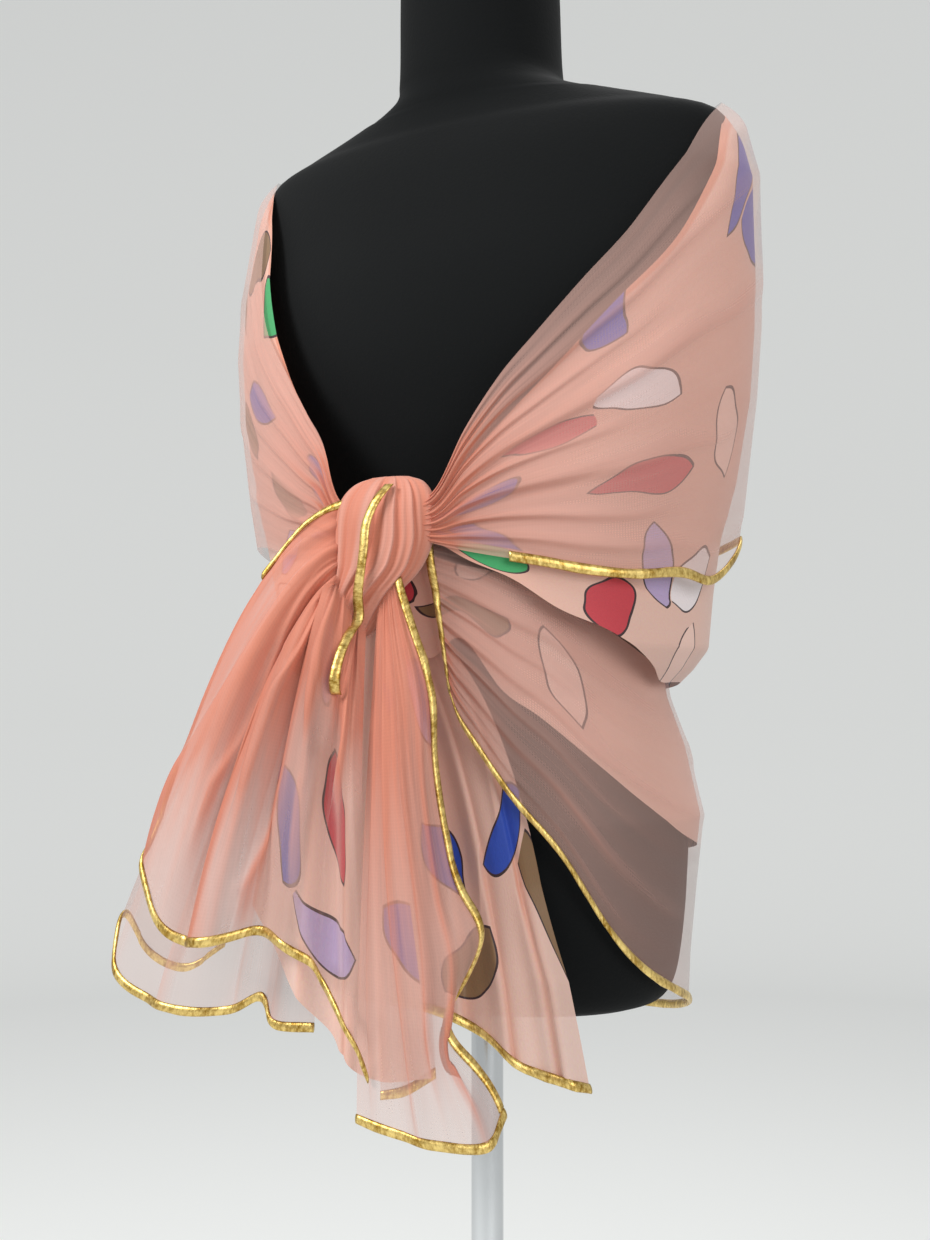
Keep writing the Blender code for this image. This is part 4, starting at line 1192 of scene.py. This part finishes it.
centreShape = {
    "rows": [
        (62, 1.062, -0.005, 0.09, -0.176, 0.728, 1, 0.004),
        (60, 1.057, -0.004, 0.088, -0.196, 0.713, 1, 0.014),
        (58, 1.052, -0.002, 0.064, -0.209, 0.714, 1, 0.016),
        (56, 1.047, 0.0012, 0.036, -0.214, 0.719, 1, 0.012),
        (54, 1.042, 0.0012, 0.006, -0.212, 0.724, 1, 0.006),
    ],
    "across": 130,
    "down": 150,
    "flatWidth": 0.14,
    "bends": [  # down, across, tall, wide, shift along x, shift along y
        (0.2, 0, 0.13, 0.4, 0.011, -0.004),
        (0.66, 0, 0.06, 0.24, 0.012, 0),
        (0.84, 0, 0.08, 0.3, -0.024, -0.008),
    ],
    "creases": [
        (0.03, 0.9, 0.2, 0.24, 0.05, 0.001, 0.004),
        (0.03, 0.8, 0.42, 0.44, 0.05, 0.0014, 0.0034),
        (0.03, 0.92, 0.66, 0.66, 0.06, 0.001, 0.0044),
        (0.03, 0.85, 0.86, 0.88, 0.04, 0.001, 0.0026),
    ] + fineGathers(41, 12, 0.0, 0.6, 0.0010, (0.02, 0.04)),
    "plies": [(0.0, 3.5), (0.3, 2.2), (0.7, 0.8), (1.0, 0.2)],
    "sway": 0.04,
}
centreRearShape = {
    "rows": [
        (94, 1.05, 0.0004, 0.031, -0.152, 0.741, 1, -0.004),
        (92, 1.044, 0.0004, 0.014, -0.162, 0.73, 1, 0),
        (90, 1.038, 0.0004, 0, -0.17, 0.727, 1, 0),
    ],
    "across": 60,
    "down": 110,
    "flatWidth": 0.06,
    "creases": [(0.05, 0.95, 0.45, 0.50, 0.14, 0.0004, 0.0026)],
}
rightShape = {
    "rows": [
        (150, 1.033, 0.016, 0.12, -0.105, 0.729, 2.3, 0),
        (152, 1.0325, 0.016, 0.11, -0.122, 0.735, 2.1, -0.006),
        (154, 1.032, 0.016, 0.092, -0.118, 0.738, 1.8, -0.01),
        (158, 1.0315, 0.016, 0.076, -0.128, 0.746, 1.5, -0.014),
        (163, 1.031, 0.016, 0.056, -0.124, 0.76, 1.3, -0.018),
        (169, 1.0305, 0.016, 0.034, -0.13, 0.772, 1.15, -0.016),
        (176, 1.03, 0.016, 0.012, -0.128, 0.776, 1.05, -0.014),
        (185, 1.0295, 0.016, -0.01, -0.134, 0.782, 1, -0.012),
    ],
    "across": 130,
    "down": 130,
    "flatWidth": 0.19,
    "printShift": (8.30, 0.70),
    "creases": [
        (0.2, 0.98, 0.16, 0.2, 0.05, -0.001, -0.0036),
        (0.2, 0.98, 0.4, 0.43, 0.056, -0.0012, -0.0042),
        (0.2, 0.98, 0.64, 0.66, 0.05, -0.001, -0.0036),
        (0.2, 0.98, 0.85, 0.86, 0.04, -0.001, -0.0028),
    ],
}


tailForm = {
    "foldCover": 330.0,
    "underHips": 0.0072,
    "heldAbove": (0.80, 0.86),   # heights between which the hips begin to hold a tail in
    "heldFrom": (0.0, 0.10),     # and shares of its fall
    "coverFrom": (0.22, 0.46),   # shares of the fall between which "cover" sets in
    "thinnest": 1.1,             # layers that a share of cover of 0 takes away
}


def tailBase(shape):
    places = np.linspace(0, len(shape["rows"]) - 1, shape["across"])
    read = {name: values[None, :] for name, values in readRows(shape["rows"], tailColumns, places).items()}
    down = np.linspace(0, 1, shape["down"])[:, None]
    root = knotPoint(np.radians(read["turn"]), read["rootZ"], read["off"])
    hem = np.stack([read["hemX"], read["hemY"], read["hemZ"]], axis=-1)
    grid = root * (1 - down[..., None]) + hem * down[..., None]
    grid[..., 1] -= read["swell"] * 4 * down * (1 - down)
    grid[..., 2] = read["rootZ"] - (read["rootZ"] - read["hemZ"]) * down ** read["arch"]
    across = (places / places[-1])[None, :]
    for atDown, atAcross, tall, wide, *shift in shape.get("bends", []):
        size = np.exp(-((down - atDown) / tall) ** 2 - ((across - atAcross) / wide) ** 2)
        grid[..., :2] += size[..., None] * shift
    return grid, np.broadcast_to(down, grid.shape[:2]), np.broadcast_to(across, grid.shape[:2])


# Lets a tail hang between the form and the lower scarf that goes over it
def holdUnderHips(grid):
    turn = np.arctan2(grid[..., 0], -grid[..., 1])
    radius = np.hypot(grid[..., 0], grid[..., 1])
    most = shellRadius(hipRows, turn, grid[..., 2]) - tailForm["underHips"]
    down = np.linspace(0, 1, grid.shape[0])[:, None]
    share = np.interp(grid[..., 2], tailForm["heldAbove"], (0, 1))
    share = share * np.interp(down, tailForm["heldFrom"], (0, 1))
    return placeAt(turn, radius + (np.minimum(radius, most) - radius) * share, grid[..., 2])


# "plies" is how many more layers are seen through down a tail, "cover" how that changes across it
def makeTail(name, shape, material, node, hold=False, fadeRoot=6):
    base, down, across = tailBase(shape)
    if hold:
        base = holdUnderHips(base)
    normals = gridNormals(base)
    forward = np.where(normals[..., 1:2] < 0, normals, -normals)
    height, layers = creaseField(shape["creases"], down, across, shape.get("sway", 0.0), tailForm["foldCover"])
    layers = layers + np.interp(down, *zip(*shape.get("plies", [(0, 0), (1, 0)])))
    cover = np.interp(across, *zip(*shape.get("cover", [(0, 1), (1, 1)])))
    share = 1 + (cover - 1) * np.interp(down, tailForm["coverFrom"], (0, 1))
    layers = layers * share - tailForm["thinnest"] * np.clip(1 - share, 0, 1)
    grid = base + forward * height[..., None]
    return makeCloth(name, grid, base, shape, layers, material, [node], fadeRoot), grid


def tailBraid(name, grid, edge, node, first=0, last=None):
    return edgeRibbon(name, np.swapaxes(grid, 0, 1), edge, [node], first, last)


# A hem's gold that turns the corner and runs some rows up the tail's side
def cornerBraid(name, grid, node, rows):
    up = np.s_[-2:-2 - rows:-1]
    line = np.concatenate([grid[-1], grid[up, -1]])
    beside = np.concatenate([grid[-2] - grid[-1], grid[up, -2] - grid[up, -1]])
    normals = gridNormals(grid)
    return makeRibbon(name, line, unit(beside), np.concatenate([normals[-1], normals[up, -1]]), [node])


leftFront, grid = makeTail("leftTailFront", leftFrontShape, tulle, "left_tail_front_tulle",
                           fadeRoot=8)
leftFrontBraid = cornerBraid("leftFrontBraid", grid, "left_tail_front_ribbon", 12)
makeKnotBraid(grid)
leftTopBraid = tailBraid("leftTopBraid", grid, "end", "left_tail_top_ribbon", last=56)
leftRear, grid = makeTail("leftTailRear", leftRearShape, tulle, "left_tail_rear_tulle")
leftRearBraid = tailBraid("leftRearBraid", grid, "hem", "left_tail_rear_ribbon")
leftPrint, grid = makeTail("leftTailPrint", leftPrintShape, chiffon, "left_tail_print")
centreTail, grid = makeTail("centreTail", centreShape, tulle, "centre_tail_tulle")
centreBraid = tailBraid("centreHemBraid", grid, "hem", "centre_tail_ribbon")
centreSideBraid = tailBraid("centreSideBraid", grid, "start", "centre_tail_side_ribbon", last=-2)
centreRear, grid = makeTail("centreTailRear", centreRearShape, tulle, "centre_tail_rear_tulle")
centreRearBraid = tailBraid("centreRearBraid", grid, "hem", "centre_tail_rear_ribbon")
rightTail, grid = makeTail("rightTail", rightShape, chiffon, "right_tail_print", hold=True)
rightBraid = tailBraid("rightTailBraid", grid, "hem", "right_tail_ribbon")
print("tails ready")


# ---- camera, floor and light
cameraPlace = {
    "distance": 1.10,
    "turn": 24.0,
    "height": 0.984,
    "focalPx": 1441.0,
    "photoPx": (930, 1240),
    "axisPx": 487.0,       # the form's axis, across the photo
    "levelPx": 699.0,      # the camera's own height, down the photo
}


def makeCamera():
    place = cameraPlace
    data = bpy.data.cameras.new("camera")
    camera = bpy.data.objects.new("camera", data)
    bpy.context.scene.collection.objects.link(camera)
    turn, focal, (photoWidth, photoHeight) = math.radians(place["turn"]), place["focalPx"], place["photoPx"]
    side = Vector((math.cos(turn), math.sin(turn), 0))
    ahead = Vector((-math.sin(turn), math.cos(turn), 0))
    yaw = math.atan((photoWidth / 2 - place["axisPx"]) / focal)
    pitch = math.atan((place["levelPx"] - photoHeight / 2) / focal)
    level = ahead * math.cos(yaw) + side * math.sin(yaw)
    look = level * math.cos(pitch) + Vector((0, 0, 1)) * math.sin(pitch)
    right = look.cross(Vector((0, 0, 1))).normalized()
    matrix = Matrix((right, right.cross(look), -look)).transposed().to_4x4()
    matrix.translation = ahead * -place["distance"]
    matrix.translation.z = place["height"]
    camera.matrix_world = matrix
    data.sensor_fit = "VERTICAL"
    data.sensor_height = 36.0
    data.lens = 36.0 * focal / photoHeight
    bpy.context.scene.camera = camera


# Matt photo paper: pale and even, so that the net's edges stay readable against it
paperLook = {
    "colour": "#DCDEDC",
    "rough": 0.9,
    "glow": 0.20,
    "flatRadii": (0.0005, 1.5, 3.0, 3.9),
    "bend": 0.9,
    "bendFrom": 0.15,
    "bendRings": 9,
    "wallTop": 4.6,
    "sides": 96,
    "under": 0.0005,
}


def makeStudio():
    look = paperLook
    flat, bend = look["flatRadii"], look["bend"]
    angles = np.linspace(look["bendFrom"], math.pi / 2, look["bendRings"])
    radii = [*flat, *(flat[-1] + bend * np.sin(angles)), flat[-1] + bend]
    heights = [*(0.0 for _ in flat), *(bend - bend * np.cos(angles)), look["wallTop"]]
    turns = np.linspace(0, math.tau, look["sides"], endpoint=False)
    rings = np.array([placeAt(turns, np.full_like(turns, radius), np.full_like(turns, height))
                      for radius, height in zip(radii, heights)])
    mesh = newMesh("studioFloor", rings, ringFaces(len(radii), look["sides"]))
    mesh.polygons.foreach_set("use_smooth", [True] * len(mesh.polygons))
    material, tree, shader = newMaterial("paleStudioPaper")
    shader.inputs["Base Color"].default_value = linearColour(look["colour"])
    shader.inputs["Roughness"].default_value = look["rough"]
    shader.inputs["Emission Color"].default_value = linearColour("#FFFFFF")
    shader.inputs["Emission Strength"].default_value = look["glow"]
    mesh.materials.append(material)
    floor = bpy.data.objects.new("studioFloor", mesh)
    bpy.context.scene.collection.objects.link(floor)
    floor.location.z = -look["under"]
    floor.visible_diffuse = False
    floor.visible_shadow = False


studioLights = [  # name, place, watts, size
    ("key", (-1.5, -2.3, 2.8), 82.0, 1.2),
    ("fill", (2.4, -1.8, 1.7), 34.0, 1.6),
    ("top", (0.2, 0.8, 3.2), 26.0, 1.6),
]
studioAir = {"colour": "#F1F2F2", "strength": 0.50, "aimHeight": 1.1}


def makeLights():
    for name, place, watts, size in studioLights:
        data = bpy.data.lights.new(name, "AREA")
        data.energy, data.size = watts, size
        light = bpy.data.objects.new(name, data)
        bpy.context.scene.collection.objects.link(light)
        light.location = place
        aim = Vector((0, 0, studioAir["aimHeight"])) - Vector(place)
        light.rotation_euler = aim.to_track_quat("-Z", "Y").to_euler()
    world = bpy.data.worlds.new("studioWorld")
    world.use_nodes = True
    background = world.node_tree.nodes["Background"]
    background.inputs[0].default_value = linearColour(studioAir["colour"])
    background.inputs[1].default_value = studioAir["strength"]
    bpy.context.scene.world = world
    bpy.context.scene.view_settings.view_transform = "Standard"


makeCamera()
makeStudio()
makeLights()
print("studio ready")
